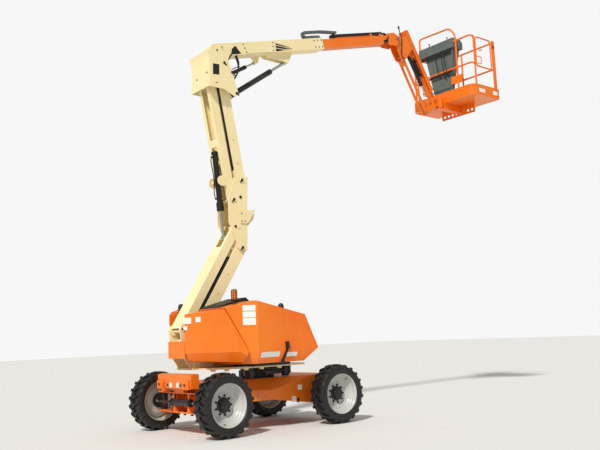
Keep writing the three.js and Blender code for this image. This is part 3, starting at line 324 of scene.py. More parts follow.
def lens_plastic(name, colour):
    """Amber polycarbonate: clear colour, glossy."""
    material, tree, shader, place = start_material(name, IOR=1.58, Transmission_Weight=0.35)
    cloud = spread(tree, noise(tree, place, 0.02, 2.0), 0.3, 0.7)
    tree.links.new(mixed(tree, cloud, linear(colour), linear("#FF9A2E")),
                   shader.inputs["Base Color"])
    tree.links.new(spread(tree, cloud, 0.0, 1.0, 0.12, 0.22), shader.inputs["Roughness"])
    tree.links.new(mixed(tree, cloud, linear(colour), linear("#FFB050")),
                   shader.inputs["Emission Color"])
    shader.inputs["Emission Strength"].default_value = 0.25
    return material


def make_materials():
    """Every finish on the machine, by a short name."""
    chosen = bpy.context.scene.boom_lift_colours
    return {
        "orange": painted_steel("orange_powder_coat", chosen.body, "#FA8A22", "#FFB25E"),
        "cream": painted_steel("cream_powder_coat", chosen.boom, "#FFF0C4", "#FFF8E0", 0.42),
        "black": painted_steel("black_enamel", "#161617", "#242424", "#4A4A4A", 0.3),
        "silver": painted_steel("silver_rim_paint", chosen.rim, "#D6D6D2", "#E8E8E6", 0.3),
        "rubber": tyre_rubber("tread_rubber"),
        "plastic": moulded_plastic("black_polyethylene", "#121213", "#262524", 0.5),
        "grey": moulded_plastic("grey_polyethylene", chosen.console, "#6E7772", 0.55),
        "red": moulded_plastic("red_nylon", "#B01810", "#D02A1A", 0.4),
        "chrome": metal("hard_chrome", "#DADCDE", "#B4B6B8", 0.08),
        "zinc": metal("zinc_plate", "#B8B4A6", "#8F8B80", 0.34),
        "iron": cast_iron("painted_casting"),
        "hose": hose_rubber("hose_rubber"),
        "plate": vinyl_plate("white_vinyl"),
        "amber": lens_plastic("amber_polycarbonate", "#F07010"),
        "brass": metal("brass", "#C8A24A", "#8E7434", 0.3),
    }


FINISH = {}

# ---------------------------------------------------------------- shapes

WELD = 0.00002                  # points closer than this are one
ON_PLANE = 1e-6
SHARP = math.radians(28)
SAME_FACE = math.radians(0.4)
ROUND = 24                      # sides of a small round bar
ROD_EDGE = 0.0015               # rounding of a chromed rod
Y_AXIS = Vector((0, 1, 0))
Z_AXIS = Vector((0, 0, 1))
LEVEL = Matrix.Identity(4)


def axes(x, y, z, origin=(0, 0, 0)):
    """A frame from its three directions and its origin."""
    return Matrix.Translation(origin) @ Matrix((x, y, z)).transposed().to_4x4()


def pointing(origin, direction):
    """A frame whose Z axis runs along direction."""
    z = direction.normalized()
    x = Z_AXIS.cross(z)
    if x.length < 1e-6:
        x = Vector((1, 0, 0)).cross(z)
    x.normalize()
    return axes(x, z.cross(x), z, origin)


def along(start, end):
    """An arm's frame: X from its first pin to its second, Y across the machine, Z above it."""
    x = (end - start).normalized()
    return axes(x, Y_AXIS, x.cross(Y_AXIS), start)


def polar(radius, turn, height=0.0):
    """A point on a circle about the Z axis."""
    return Vector((radius * math.cos(turn), radius * math.sin(turn), height))


def turns(count, shift=0.0):
    """Angles spread evenly round a circle, moved on by a share of one step."""
    return [math.tau * (index + shift) / count for index in range(count)]


def band(side, inner, outer, middle=0.0):
    """The lower and upper Y of a layer between two distances from a middle plane."""
    return sorted((middle + side * inner, middle + side * outer))


def on(place, points):
    """Points of the frame place."""
    return [place @ Vector(point) for point in points]


def bevelled(bm, made, width, wanted=None):
    """Rounds the edges at the made points, all or those wanted, and gives the points there."""
    edges = [edge for edge in {edge for vert in made for edge in vert.link_edges}
             if wanted is None or wanted(edge)]
    fresh = bmesh.ops.bevel(bm, geom=edges, offset=width, segments=2, profile=0.5,
                            affect="EDGES", material=-1)["verts"]
    return list(set(fresh + [vert for vert in made if vert.is_valid]))


def add_box(bm, low, high, place=None, bevel=0.0):
    """A box between two corners of the frame place."""
    low, high = Vector(low), Vector(high)
    made = bmesh.ops.create_cube(bm, size=1.0)["verts"]
    bmesh.ops.scale(bm, vec=high - low, verts=made)
    bmesh.ops.translate(bm, vec=(low + high) / 2, verts=made)
    if bevel:
        made = bevelled(bm, made, bevel)
    if place is not None:
        bmesh.ops.transform(bm, matrix=place, verts=made)


def add_rod(bm, start, end, radius, sides=ROUND, bevel=0.0):
    """A closed round bar between two points."""
    start, end = Vector(start), Vector(end)
    span = end - start
    made = bmesh.ops.create_cone(bm, cap_ends=True, segments=sides, radius1=radius,
                                 radius2=radius, depth=span.length)["verts"]
    if bevel:
        made = bevelled(bm, made, bevel, lambda edge: any(
            len(face.verts) == sides for face in edge.link_faces))
    bmesh.ops.transform(bm, matrix=pointing((start + end) / 2, span), verts=made)


def add_turned(bm, profile, place, steps=48):
    """A shape turned about the frame's Z axis from a profile of radius and height."""
    points = [bm.verts.new((radius, 0, height)) for radius, height in profile]
    edges = [bm.edges.new(pair) for pair in zip(points, points[1:])]
    made = bmesh.ops.spin(bm, geom=points + edges, cent=(0, 0, 0), axis=(0, 0, 1),
                          dvec=(0, 0, 0), angle=math.tau, steps=steps, use_merge=True)
    faces = {face for item in points + made["geom_last"] if isinstance(item, bmesh.types.BMVert)
             and item.is_valid for face in item.link_faces}
    grown = set(faces)
    while faces:
        faces = {near for face in faces for edge in face.edges for near in edge.link_faces} - grown
        grown |= faces
    verts = list({vert for face in grown for vert in face.verts})
    bmesh.ops.remove_doubles(bm, verts=verts, dist=WELD)
    verts = list({vert for face in grown if face.is_valid for vert in face.verts})
    bmesh.ops.recalc_face_normals(bm, faces=[face for face in grown if face.is_valid])
    bmesh.ops.transform(bm, matrix=place, verts=verts)


def add_plate(bm, outline, y0, y1, place=None, bevel=0.0):
    """A flat plate across the machine from an outline of x and z."""
    corners = [bm.verts.new((x, y0, z)) for x, z in outline]
    face = bm.faces.new(corners)
    pushed = bmesh.ops.extrude_face_region(bm, geom=[face])["geom"]
    moved = [item for item in pushed if isinstance(item, bmesh.types.BMVert)]
    bmesh.ops.translate(bm, vec=(0, y1 - y0, 0), verts=moved)
    made = corners + moved
    faces = list({near for vert in made for near in vert.link_faces})
    bmesh.ops.recalc_face_normals(bm, faces=faces)
    if bevel:
        made = bevelled(bm, made, bevel)
    if place is not None:
        bmesh.ops.transform(bm, matrix=place, verts=made)


def add_bolt(bm, point, out, width=None, proud=None):
    """A hexagon head on its washer, standing out of a face."""
    width = width or bpy.context.scene.boom_lift_fittings.bolt
    proud = proud or width * 0.45
    out = Vector(out).normalized()
    point = Vector(point)
    washer = width * 0.1
    add_rod(bm, point - out * 0.001, point + out * washer, width * 0.68, 16)
    add_rod(bm, point + out * washer, point + out * proud, width * 0.577, 6, bevel=width * 0.06)


def add_bolts(bm, points, out, width):
    """Equal bolts that all stand out the same way."""
    for point in points:
        add_bolt(bm, point, out, width)


def hose_radius():
    """Half the outside diameter of the hydraulic hoses."""
    return bpy.context.scene.boom_lift_fittings.hose / 2


def add_sweep(bm, points, radius, sides=12, round_off=0.0):
    """A tube along a line of points, its bends rounded where round_off is given."""
    curve = bpy.data.curves.new("route", "CURVE")
    curve.dimensions = "3D"
    curve.bevel_depth = radius
    curve.bevel_resolution = max(1, sides // 4 - 1)
    curve.use_fill_caps = True
    route = [Vector(point) for point in points]
    if round_off:
        route = rounded(route, round_off)
        spline = curve.splines.new("POLY")
    else:
        spline = curve.splines.new("NURBS")
        spline.use_endpoint_u = True
        spline.order_u = 4 if len(route) > 3 else len(route)
        spline.resolution_u = 6
    spline.points.add(len(route) - 1)
    for knot, point in zip(spline.points, route):
        knot.co = (*point, 1.0)
    holder = bpy.data.objects.new("route", curve)
    mesh = bpy.data.meshes.new_from_object(holder)
    before = set(bm.verts)
    bm.from_mesh(mesh)
    made = [vert for vert in bm.verts if vert not in before]
    bmesh.ops.remove_doubles(bm, verts=made, dist=WELD)
    bpy.data.objects.remove(holder)
    bpy.data.meshes.remove(mesh)
    bpy.data.curves.remove(curve)


def rounded(route, radius, steps=6):
    """The same route with each corner turned through a short arc."""
    result = [route[0]]
    for before, corner, after in zip(route, route[1:], route[2:]):
        back, ahead = before - corner, after - corner
        cut = min(radius, back.length * 0.49, ahead.length * 0.49)
        start = corner + back.normalized() * cut
        end = corner + ahead.normalized() * cut
        for step in range(steps + 1):
            share = step / steps
            result.append((1 - share) ** 2 * start + 2 * share * (1 - share) * corner
                          + share ** 2 * end)
    result.append(route[-1])
    return result


def cut_away(bm, point, out, plates=False):
    """Cuts a closed shape by a plane, drops what lies outside and closes the cut, which has
    several outlines where the shape is made of plates."""
    geometry = bm.verts[:] + bm.edges[:] + bm.faces[:]
    cut = bmesh.ops.bisect_plane(bm, geom=geometry, dist=ON_PLANE, plane_co=point,
                                 plane_no=Vector(out).normalized(), clear_outer=True)
    edges = [item for item in cut["geom_cut"] if isinstance(item, bmesh.types.BMEdge)]
    if plates:
        bmesh.ops.holes_fill(bm, edges=edges, sides=0)
    elif edges:
        bmesh.ops.edgeloop_fill(bm, edges=edges)


def soften(bm, width, segments=2):
    """Rounds the sharp edges and marks the new faces as worn."""
    layer = bm.faces.layers.float.new("worn_edge")
    edges = [edge for edge in bm.edges
             if len(edge.link_faces) == 2 and edge.calc_face_angle(0.0) > SHARP]
    made = bmesh.ops.bevel(bm, geom=edges, offset=width, offset_type="OFFSET", segments=segments,
                           profile=0.5, affect="EDGES", clamp_overlap=True, material=-1)
    for face in made["faces"]:
        face[layer] = 1.0


def finish_piece(bm, name, finish, body, replaces=(), flat=False):
    """Makes the mesh an object with its finish and lets it ride on its body, if it has one."""
    mesh = bpy.data.meshes.new(name)
    bm.to_mesh(mesh)
    bm.free()
    mesh.materials.append(FINISH[finish])
    for polygon in mesh.polygons:
        polygon.use_smooth = not flat
    if not flat:
        mesh.set_sharp_from_angle(angle=SHARP)
    piece = bpy.data.objects.new(name, mesh)
    bpy.context.scene.collection.objects.link(piece)
    if not flat:
        even = piece.modifiers.new("even_shading", "WEIGHTED_NORMAL")
        even.keep_sharp = True
        even.weight = 100
    if body:
        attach(piece, body)
    if replaces:
        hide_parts(*replaces)
    return piece


def worked_copy(node, finish, edge=None, trim=()):
    """A copy of a frame part with its facets joined and its edges rounded, in its finish."""
    width = bpy.context.scene.boom_lift_fittings.edge if edge is None else edge
    bm = bmesh.new()
    bm.from_mesh(frame["nodes"][node].data)
    bmesh.ops.remove_doubles(bm, verts=bm.verts[:], dist=WELD)
    bmesh.ops.dissolve_limit(bm, angle_limit=SAME_FACE, use_dissolve_boundaries=False,
                             verts=bm.verts[:], edges=bm.edges[:])
    for point, out in trim:
        cut_away(bm, point, out, plates=True)
    soften(bm, width)
    finish_piece(bm, node + "_body", finish, BODY_OF[node], (node,))


def worked_copies(finish, edge, *nodes):
    """Several frame parts in the same finish."""
    for node in nodes:
        worked_copy(node, finish, edge)


# ---------------------------------------------------------------- wheels

TYRE_RADIUS = 0.400
RIM_RADIUS = 0.2725
LUG_STEPS = (                   # across the tread: side, foot radius, top radius, width, lead angle
    (-0.012, 0.370, 0.3995, 0.046, 0.000),
    (0.034, 0.370, 0.3995, 0.040, 0.050),
    (0.078, 0.366, 0.3975, 0.037, 0.118),
    (0.116, 0.350, 0.3900, 0.046, 0.152),
    (0.1268, 0.338, 0.3700, 0.048, 0.160),
)


def wheel_place(name):
    """A wheel's frame: Z points out along its axle."""
    axle = Vector(JOINTS[f"wheel_{name}_roll"]["axis"])
    out = axle if name.endswith("far") else -axle
    return pointing(joint_at(f"wheel_{name}_roll"), out)


def add_lug(bm, side, lead):
    """One tread lug, drawn out from the crown over the shoulder and down the side wall."""
    def corners(step):
        across, foot, top, width, turn = step
        ring = []
        for half, radius in ((-1, foot), (1, foot), (1, top), (-1, top)):
            taper = 0.5 if radius == foot else 0.42
            angle = lead + turn + half * width * taper / radius
            ring.append((radius * math.cos(angle), radius * math.sin(angle), side * across))
        return ring

    first = [bm.verts.new(point) for point in corners(LUG_STEPS[0])]
    face = bm.faces.new(first)
    made = list(first)
    for step in LUG_STEPS[1:]:
        pushed = bmesh.ops.extrude_face_region(bm, geom=[face])["geom"]
        face = next(item for item in pushed if isinstance(item, bmesh.types.BMFace))
        for vert, point in zip(face.verts, corners(step)):
            vert.co = point
        made += list(face.verts)
    shells = list({near for vert in made for near in vert.link_faces})
    bmesh.ops.recalc_face_normals(bm, faces=shells)
    return made


def tyre_mesh():
    """Casing with its bead, side wall rings and shoulders, and the lugs round it."""
    sizes = bpy.context.scene.boom_lift_wheels
    bm = bmesh.new()
    base = TYRE_RADIUS - sizes.lug_depth
    wall = [(RIM_RADIUS, 0.108), (0.280, 0.121), (0.292, 0.127), (0.297, 0.1295), (0.301, 0.127),
            (0.318, 0.1285), (0.322, 0.1308), (0.327, 0.1285), (0.345, 0.126),
            (base - 0.012, 0.117), (base - 0.002, 0.098), (base, 0.05)]
    profile = wall + [(radius, -side) for radius, side in reversed(wall)]
    add_turned(bm, profile + [profile[0]], LEVEL, 72)
    pitch = math.tau / sizes.lugs
    for side, start in ((1, 0.0), (-1, pitch / 2)):
        for index in range(sizes.lugs):
            add_lug(bm, side, start + index * pitch)
    soften(bm, 0.0025, 1)
    return bm


def rim_mesh():
    """Dished steel rim with stepped rings, open and deep on its inner side."""
    bm = bmesh.new()
    front = [(0.060, -0.018), (0.158, -0.022), (0.168, -0.017), (0.178, -0.004), (0.190, 0.004),
             (0.208, 0.006), (0.214, 0.014), (0.222, 0.028), (0.232, 0.034), (0.237, 0.046),
             (0.246, 0.054), (0.250, 0.070), (0.2515, 0.086), (0.259, 0.095), (0.2615, 0.106),
             (0.2655, 0.1095), (0.2705, 0.109), (0.2724, 0.1035)]
    back = [(0.2622, 0.092), (0.2622, -0.092), (0.2724, -0.1035), (0.2705, -0.109),
            (0.2655, -0.1095), (0.2600, -0.104), (0.2545, -0.090), (0.2500, -0.040),
            (0.2440, 0.030), (0.2300, 0.020), (0.2200, 0.002), (0.2060, -0.008),
            (0.1900, -0.010), (0.1760, -0.026), (0.158, -0.034), (0.060, -0.034)]
    add_turned(bm, front + back + [front[0]], LEVEL, 72)
    return bm


def hub_mesh():
    """Black drive hub: flange, cap, centre plug and the bolts on its face."""
    bm = bmesh.new()
    add_turned(bm, [(0.0, -0.040), (0.099, -0.040), (0.099, -0.008), (0.092, -0.002),
                    (0.082, 0.002), (0.079, 0.026), (0.072, 0.034), (0.030, 0.037),
                    (0.028, 0.043), (0.0, 0.044)], LEVEL, 40)
    add_bolts(bm, [polar(0.056, turn, 0.0345) for turn in turns(8)], Z_AXIS, 0.014)
    return bm


def nuts_mesh():
    """Ring of wheel nuts on their studs."""
    bm = bmesh.new()
    for turn in turns(bpy.context.scene.boom_lift_wheels.nuts):
        spot = polar(0.1185, turn, -0.0195)
        add_bolt(bm, spot, Z_AXIS, 0.022, 0.015)
        add_rod(bm, spot, spot + Z_AXIS * 0.026, 0.006, 10, bevel=0.0015)
    return bm


def studs_mesh():
    """Small plated plugs in the rim's dish."""
    bm = bmesh.new()
    for turn in turns(8, 0.5):
        spot = polar(0.144, turn, -0.0215)
        add_rod(bm, spot, spot + Z_AXIS * 0.007, 0.0075, 12, bevel=0.0015)
    return bm


def valve_mesh(turn):
    """Valve stem and cap in the rim's outer ring."""
    bm = bmesh.new()
    foot = polar(0.228, turn, 0.028)
    add_rod(bm, foot, foot + Z_AXIS * 0.030, 0.006, 10)
    add_rod(bm, foot + Z_AXIS * 0.030, foot + Z_AXIS * 0.044, 0.0078, 12, bevel=0.0015)
    return bm


class BOOMLIFT_OT_wheels(bpy.types.Operator):
    """Lug tyres, dished rims, hubs, nuts and valves"""

    bl_idname = "boomlift.wheels"
    bl_label = "Wheels"

    def execute(self, context):
        for name, valve_turn in (("steer_near", -1.75), ("steer_far", 2.1),
                                 ("drive_near", 0.95), ("drive_far", -0.6)):
            end, side = name.split("_")
            body = "wheel_" + name
            place = wheel_place(name)
            for kind, bm, finish, stands_for in (
                    ("tyre", tyre_mesh(), "rubber", (f"{end}_tyre_{side}",)),
                    ("rim", rim_mesh(), "silver", (f"{end}_rim_{side}",)),
                    ("hub", hub_mesh(), "black", ()),
                    ("nuts", nuts_mesh(), "iron", ()),
                    ("studs", studs_mesh(), "zinc", ()),
                    ("valve", valve_mesh(valve_turn), "brass", ())):
                bmesh.ops.transform(bm, matrix=place, verts=bm.verts[:])
                finish_piece(bm, f"{kind}_{name}", finish, body, stands_for)
        return {"FINISHED"}

# ---------------------------------------------------------------- chassis

BUMPER_X = -1.15
EYE_X = -1.18
SIDE_Y = 0.5


def chassis_bolts():
    """Plated bolts of the swing bearing, the chassis sides and the axle seats."""
    bm = bmesh.new()
    add_bolts(bm, [SWING + polar(0.237, turn, -0.060) for turn in turns(24)], Z_AXIS, 0.019)
    for side in (-1, 1):
        add_bolts(bm, [at(x, side * SIDE_Y, z) for x, z in (
            (-0.147, 0.455), (-0.155, 0.405), (0.90, 0.62), (0.98, 0.62), (0.90, 0.56),
            (0.98, 0.56))], (0, side, 0), 0.020)
    finish_piece(bm, "chassis_bolts", "zinc", "chassis")


def chassis_front_fittings():
    """Tie-down eyes, round openings shown as black discs of painted shade, and the folded cover at the steering
    end.
    """
    bm = bmesh.new()
    for side in (-1, 1):
        eye = at(EYE_X, side * 0.33, 0.645)
        add_turned(bm, [(0.026, 0.0), (0.042, 0.0), (0.042, 0.008), (0.036, 0.012),
                        (0.026, 0.012), (0.026, 0.0)], pointing(eye, Vector((-1, 0, 0))), 28)
    cover = [(-1.150, 0.700), (-1.146, 0.752), (-1.128, 0.774), (-1.095, 0.783),
             (-1.035, 0.783), (-1.035, 0.776), (-1.092, 0.776), (-1.123, 0.768),
             (-1.139, 0.749), (-1.143, 0.700)]
    place = Matrix.Translation((CHASSIS_X, 0, 0))
    add_plate(bm, cover, -0.425, 0.425, place, bevel=0.001)
    finish_piece(bm, "front_cover", "orange", "chassis")
    # black discs of painted shade fill the eyes, the side holes and the front ports
    bm = bmesh.new()
    for side in (-1, 1):
        eye = at(EYE_X - 0.0012, side * 0.33, 0.645)
        add_rod(bm, eye, eye + Vector((-0.002, 0, 0)), 0.027, 28)
        hole = at(0.513, side * (SIDE_Y - 0.006), 0.340)
        add_rod(bm, hole, hole + Vector((0, -side * 0.004, 0)), 0.040, 28)
        port = at(BUMPER_X - 0.0008, side * 0.17, 0.640)
        add_rod(bm, port, port + Vector((-0.002, 0, 0)), 0.021, 28)
    finish_piece(bm, "chassis_openings_painted_shade", "black", "chassis")
    bm = bmesh.new()
    add_bolts(bm, [at(BUMPER_X, y, z) for y, z in (
        (-0.205, 0.668), (-0.205, 0.612), (0.24, 0.660), (0.24, 0.618), (-0.40, 0.70),
        (0.40, 0.70), (-0.40, 0.625), (0.40, 0.625))], (-1, 0, 0), 0.020)
    finish_piece(bm, "front_bolts", "zinc", "chassis")


def chassis_steering_fittings():
    """Clamps, glands, hose tails and the steering hoses at the steer axle."""
    low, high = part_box("steer_cylinder")
    x, z = (low.x + high.x) / 2, (low.z + high.z) / 2
    bm = bmesh.new()
    for side in (-1, 1):
        add_rod(bm, (x, side * 0.205, z), (x, side * 0.2395, z), 0.0505, 28, bevel=0.003)
        add_rod(bm, (x, side * 0.165, z + 0.044), (x, side * 0.165, z + 0.072), 0.013, 6)
    finish_piece(bm, "steer_glands", "black", "chassis")
    bm = bmesh.new()
    beam_low, beam_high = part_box("steer_axle_beam")
    for side in (-1, 1):
        for y in (0.075, 0.26):
            for level, out in ((beam_low.z + 0.045, -1), (beam_high.z - 0.044, 1)):
                spot, up = Vector((x + 0.005, side * y, level)), Z_AXIS * out
                add_rod(bm, spot - up * 0.030, spot + up * 0.024, 0.011, 12)
                add_rod(bm, spot + up * 0.006, spot + up * 0.022, 0.021, 6)
    finish_piece(bm, "steer_axle_bolts", "iron", "chassis")
    bm = bmesh.new()
    route = ((0.0, 0.165, 0.070), (0.0, 0.165, 0.105), (0.030, 0.150, 0.150),
             (0.060, 0.110, 0.190), (0.085, 0.070, 0.200), (0.125, 0.060, 0.200))
    for side in (-1, 1):
        add_sweep(bm, [(x + dx, side * y, z + dz) for dx, y, dz in route], hose_radius())
    finish_piece(bm, "steer_hoses", "hose", "chassis")
    for name in ("near", "far"):
        pivot = joint_at(f"steering_{name}")
        bm = bmesh.new()
        add_rod(bm, pivot + Z_AXIS * 0.106, pivot + Z_AXIS * 0.122, 0.062, 28, bevel=0.003)
        add_bolts(bm, [pivot + polar(0.045, turn, 0.122) for turn in turns(4, 0.5)],
                  Z_AXIS, 0.016)
        finish_piece(bm, f"kingpin_cap_{name}", "iron", f"knuckle_{name}")


def chassis_axle_fittings():
    """Flanges, ribs and motor of the drive axle."""
    x, _, z = joint_at("wheel_drive_near_roll")
    bm = bmesh.new()
    for side in (-1, 1):
        add_rod(bm, (x, side * 0.115 - 0.010, z), (x, side * 0.115 + 0.010, z), 0.103, 32,
                bevel=0.003)
        add_bolts(bm, [(x + 0.090 * math.cos(turn), side * 0.125, z + 0.090 * math.sin(turn))
                       for turn in turns(10)], (0, side, 0), 0.015)
    for side in (-1, 1):
        for y in (0.30, 0.45, 0.56):
            add_rod(bm, (x, side * (y - 0.009), z), (x, side * (y + 0.009), z), 0.083, 28,
                    bevel=0.003)
    finish_piece(bm, "axle_ribs", "iron", "chassis")
    bm = bmesh.new()
    add_rod(bm, (x - 0.075, 0.0, 0.415), (x - 0.275, 0.0, 0.435), 0.062, 28, bevel=0.004)
    add_rod(bm, (x - 0.275, 0.0, 0.435), (x - 0.335, 0.0, 0.441), 0.048, 28, bevel=0.003)
    finish_piece(bm, "drive_motor", "black", "chassis")


def chassis_plates():
    """Blank plates on the chassis."""
    bm = bmesh.new()
    for x, z, width, height in ((0.545, 0.505, 0.075, 0.068), (0.435, 0.352, 0.072, 0.075)):
        add_box(bm, at(x - width / 2, -SIDE_Y - 0.0012, z - height / 2),
                at(x + width / 2, -SIDE_Y + 0.001, z + height / 2))
    for y, width in ((0.085, 0.062), (-0.09, 0.058)):
        add_box(bm, at(BUMPER_X - 0.0012, y - width / 2, 0.612),
                at(BUMPER_X + 0.001, y + width / 2, 0.672))
    finish_piece(bm, "chassis_plates", "plate", "chassis", flat=True)


class BOOMLIFT_OT_chassis(bpy.types.Operator):
    """Chassis, axles, steering and the fittings on them"""

    bl_idname = "boomlift.chassis"
    bl_label = "Chassis"

    def execute(self, context):
        worked_copy("chassis_frame", "orange", 0.005)
        worked_copy("steer_axle_beam", "orange")
        worked_copy("drive_axle", "iron", 0.006)
        worked_copy("swing_bearing", "iron")
        worked_copy("steer_cylinder", "black")
        worked_copy("steer_rod", "chrome", ROD_EDGE)
        worked_copies("iron", 0.004, "steer_knuckle_near", "steer_knuckle_far")
        chassis_bolts()
        chassis_front_fittings()
        chassis_steering_fittings()
        chassis_axle_fittings()
        chassis_plates()
        return {"FINISHED"}


# ---------------------------------------------------------------- turntable

HOOD_BREAK = 1.045              # height where the sides turn inward
HOOD_FOOT = 0.88
HOOD_TUCK = 0.075               # how far the sides come in below the break
HOOD_SHEET = 0.006
CREASE = Vector((-0.455, -0.95, 0))         # ends of the shoulder panel, seen from above
SHOULDER = Vector((-0.79, -0.72, 0))
TAIL_RADIUS = 1.2
TAIL_CENTRE = Vector((0.17, 0, 0))
TAIL_FOOT = 0.905
TAIL_TURNS = {"near": range(177, 234, 4), "far": (183, *range(175, 126, -4))}
HOOD_OUTLINE = ((-0.600, 0.88), (0.335, 0.88), (0.537, 1.05), (0.325, 1.497), (-0.475, 1.686),
                (-0.795, 1.610), (-0.553, 1.050))
TAIL_OUTLINE = ((-1.20, 0.985), (-0.90, 0.93), (-0.612, TAIL_FOOT), (-0.567, 1.05),
                (-0.806, 1.590), (-1.20, 1.520))
SIDE_OF = {"near": -1, "far": 1}
OUTER_Y = {"near": -0.95, "far": 0.93}
INNER_Y = {"near": -0.0875, "far": 0.4875}


def tucked_by(z):
    """How far a hood's side has come in at a height below the break."""
    return max(0.0, (HOOD_BREAK - z) / (HOOD_BREAK - HOOD_FOOT)) * HOOD_TUCK


def tuck_under(bm, point, out, foot):
    """Cuts the inward slope below the break line of a side that faces out."""
    flat = Vector((out[0], out[1], 0)).normalized()
    drop = HOOD_BREAK - foot
    cut_away(bm, at(point[0], point[1], HOOD_BREAK), flat * drop - Z_AXIS * HOOD_TUCK)


def body_prism(outline, side):
    """The outline pushed across its side of the turntable."""
    bm = bmesh.new()
    low, high = sorted((OUTER_Y[side], INNER_Y[side]))
    add_plate(bm, outline, low, high, Matrix.Translation((CHASSIS_X, 0, 0)))
    return bm


def hood_mesh(side):
    """A folded hood: flat side, slanting shoulder panel and a slope tucked in underneath."""
    sign = SIDE_OF[side]
    bm = body_prism(HOOD_OUTLINE, side)
    panel = SHOULDER - CREASE
    corner = (CREASE.x, OUTER_Y[side])
    out = (-panel.y, -sign * panel.x, 0)
    cut_away(bm, at(*corner, 0), out)
    tuck_under(bm, (0, OUTER_Y[side]), (0, sign), HOOD_FOOT)
    tuck_under(bm, corner, out, HOOD_FOOT)
    inner = [face for face in bm.faces
             if abs(face.calc_center_median().y - INNER_Y[side]) < 0.002 or face.normal.z < -0.98]
    bmesh.ops.delete(bm, geom=inner, context="FACES")
    soften(bm, 0.010, 3)
    return bm


def tail_mesh(side):
    """The ballast behind the hood: round tail with a flat facet towards the hood."""
    sign = SIDE_OF[side]
    bm = body_prism(TAIL_OUTLINE, side)
    for turn in TAIL_TURNS[side]:
        out = polar(1.0, math.radians(turn))
        spot = TAIL_CENTRE + out * TAIL_RADIUS
        cut_away(bm, at(*spot), out)
        tuck_under(bm, spot, out, TAIL_FOOT)
    ridge = [Vector((-0.785, sign * 0.727, 1.582)), Vector((-0.676, sign * 0.851, 1.076)),
             Vector((-0.548, sign * 0.898, 1.057))]
    out = (ridge[1] - ridge[0]).cross(ridge[2] - ridge[0])
    if out.y * sign < 0:
        out.negate()
    cut_away(bm, at(*ridge[0]), out)
    tuck_under(bm, (-0.5, OUTER_Y[side]), (0, sign), TAIL_FOOT)
    soften(bm, 0.008, 3)
    return bm


def turntable_tail_cover():
    """Sheet that closes the back of the tower's well between the two ballasts."""
    bm = bmesh.new()
    add_box(bm, at(-1.034, -0.0870, 0.975), at(-1.028, 0.345, 1.200), bevel=0.002)
    turned = pointing(at(-1.031, 0.343, 0.0), Vector((0.081, 0.143, 0)))
    add_box(bm, (-0.003, 0.975, 0.0), (0.003, 1.200, 0.164), turned)
    finish_piece(bm, "tail_cover", "orange", "turntable")


def turntable_beacon():
    """Amber lamp on a black base inside a wire cage."""
    low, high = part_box("beacon")
    foot, top = low.z - 0.01, high.z
    place = Matrix.Translation(((low.x + high.x) / 2, (low.y + high.y) / 2, 0))
    bm = bmesh.new()
    add_turned(bm, [(0.0, top - 0.136), (0.030, top - 0.136), (0.031, top - 0.130),
                    (0.029, top - 0.034), (0.024, top - 0.018), (0.012, top - 0.011),
                    (0.0, top - 0.008)], place, 32)
    finish_piece(bm, "beacon_lens", "amber", "near_hood", ("beacon",))
    bm = bmesh.new()
    add_turned(bm, [(0.0, foot), (0.030, foot), (0.030, top - 0.155), (0.040, top - 0.148),
                    (0.0415, top - 0.138), (0.038, top - 0.134), (0.0, top - 0.134)], place, 32)
    finish_piece(bm, "beacon_base", "plastic", "near_hood")
    bm = bmesh.new()
    wire = ((0.038, -0.145), (0.0385, -0.060), (0.037, -0.020), (0.024, -0.005), (0.006, -0.004))
    for turn in turns(8):
        add_sweep(bm, on(place, [polar(r, turn, top + z) for r, z in wire]), 0.0032, 8)
    for z in (-0.112, -0.082, -0.052, -0.024):
        ring = [polar(0.0385, turn, top + z) for turn in turns(24) + [math.tau]]
        add_sweep(bm, on(place, ring), 0.0032, 8)
    finish_piece(bm, "beacon_cage", "black", "near_hood")


def turntable_hood_fittings():
    """Rubber latches, their keepers, hinges and the two lamps on stalks."""
    for side in ("near", "far"):
        sign, face = SIDE_OF[side], OUTER_Y[side]
        bm = bmesh.new()
        low, high = band(sign, 0, 0.028, face)
        add_box(bm, at(-0.026, low, 1.055), at(0.026, high, 1.145), bevel=0.008)
        strap = ((0.0, 1.07), (-0.004, 1.045), (-0.012, 1.00), (-0.022, 0.95), (-0.030, 0.905))
        path = [at(x, face + sign * (0.012 - tucked_by(z)), z) for x, z in strap]
        for start, end in zip(path, path[1:]):
            add_rod(bm, start, end, 0.017, 14, bevel=0.002)
        knob = at(-0.032, face + sign * (0.010 - tucked_by(0.905)), 0.905)
        add_rod(bm, knob + Z_AXIS * 0.020, knob - Z_AXIS * 0.030, 0.024, 20, bevel=0.006)
        finish_piece(bm, f"latch_{side}", "plastic", f"{side}_hood")
        bm = bmesh.new()
        y = INNER_Y[side] + sign * 0.016
        for x in (-0.40, 0.20):
            z = 1.690 - abs(x + 0.475) * 0.237
            add_rod(bm, at(x - 0.05, y, z), at(x + 0.05, y, z), 0.011, 16, bevel=0.002)
        finish_piece(bm, f"hinges_{side}", "black", f"{side}_hood")
    for name, x, y, foot, rise, body in (
            ("front", 0.430, -0.285, 1.452, 0.165, "near_hood"),
            ("rear", -0.700, 0.560, 1.560, 0.100, "turntable")):
        bm = bmesh.new()
        add_rod(bm, at(x, y, foot - 0.014), at(x, y, foot + rise - 0.055), 0.014, 16)
        place = Matrix.Translation(at(x, y, foot + rise))
        add_turned(bm, [(0.0, -0.060), (0.020, -0.058), (0.036, -0.040), (0.043, -0.006),
                        (0.041, 0.030), (0.028, 0.056), (0.0, 0.066)], place, 28)
        finish_piece(bm, f"{name}_lamp", "plastic", body)


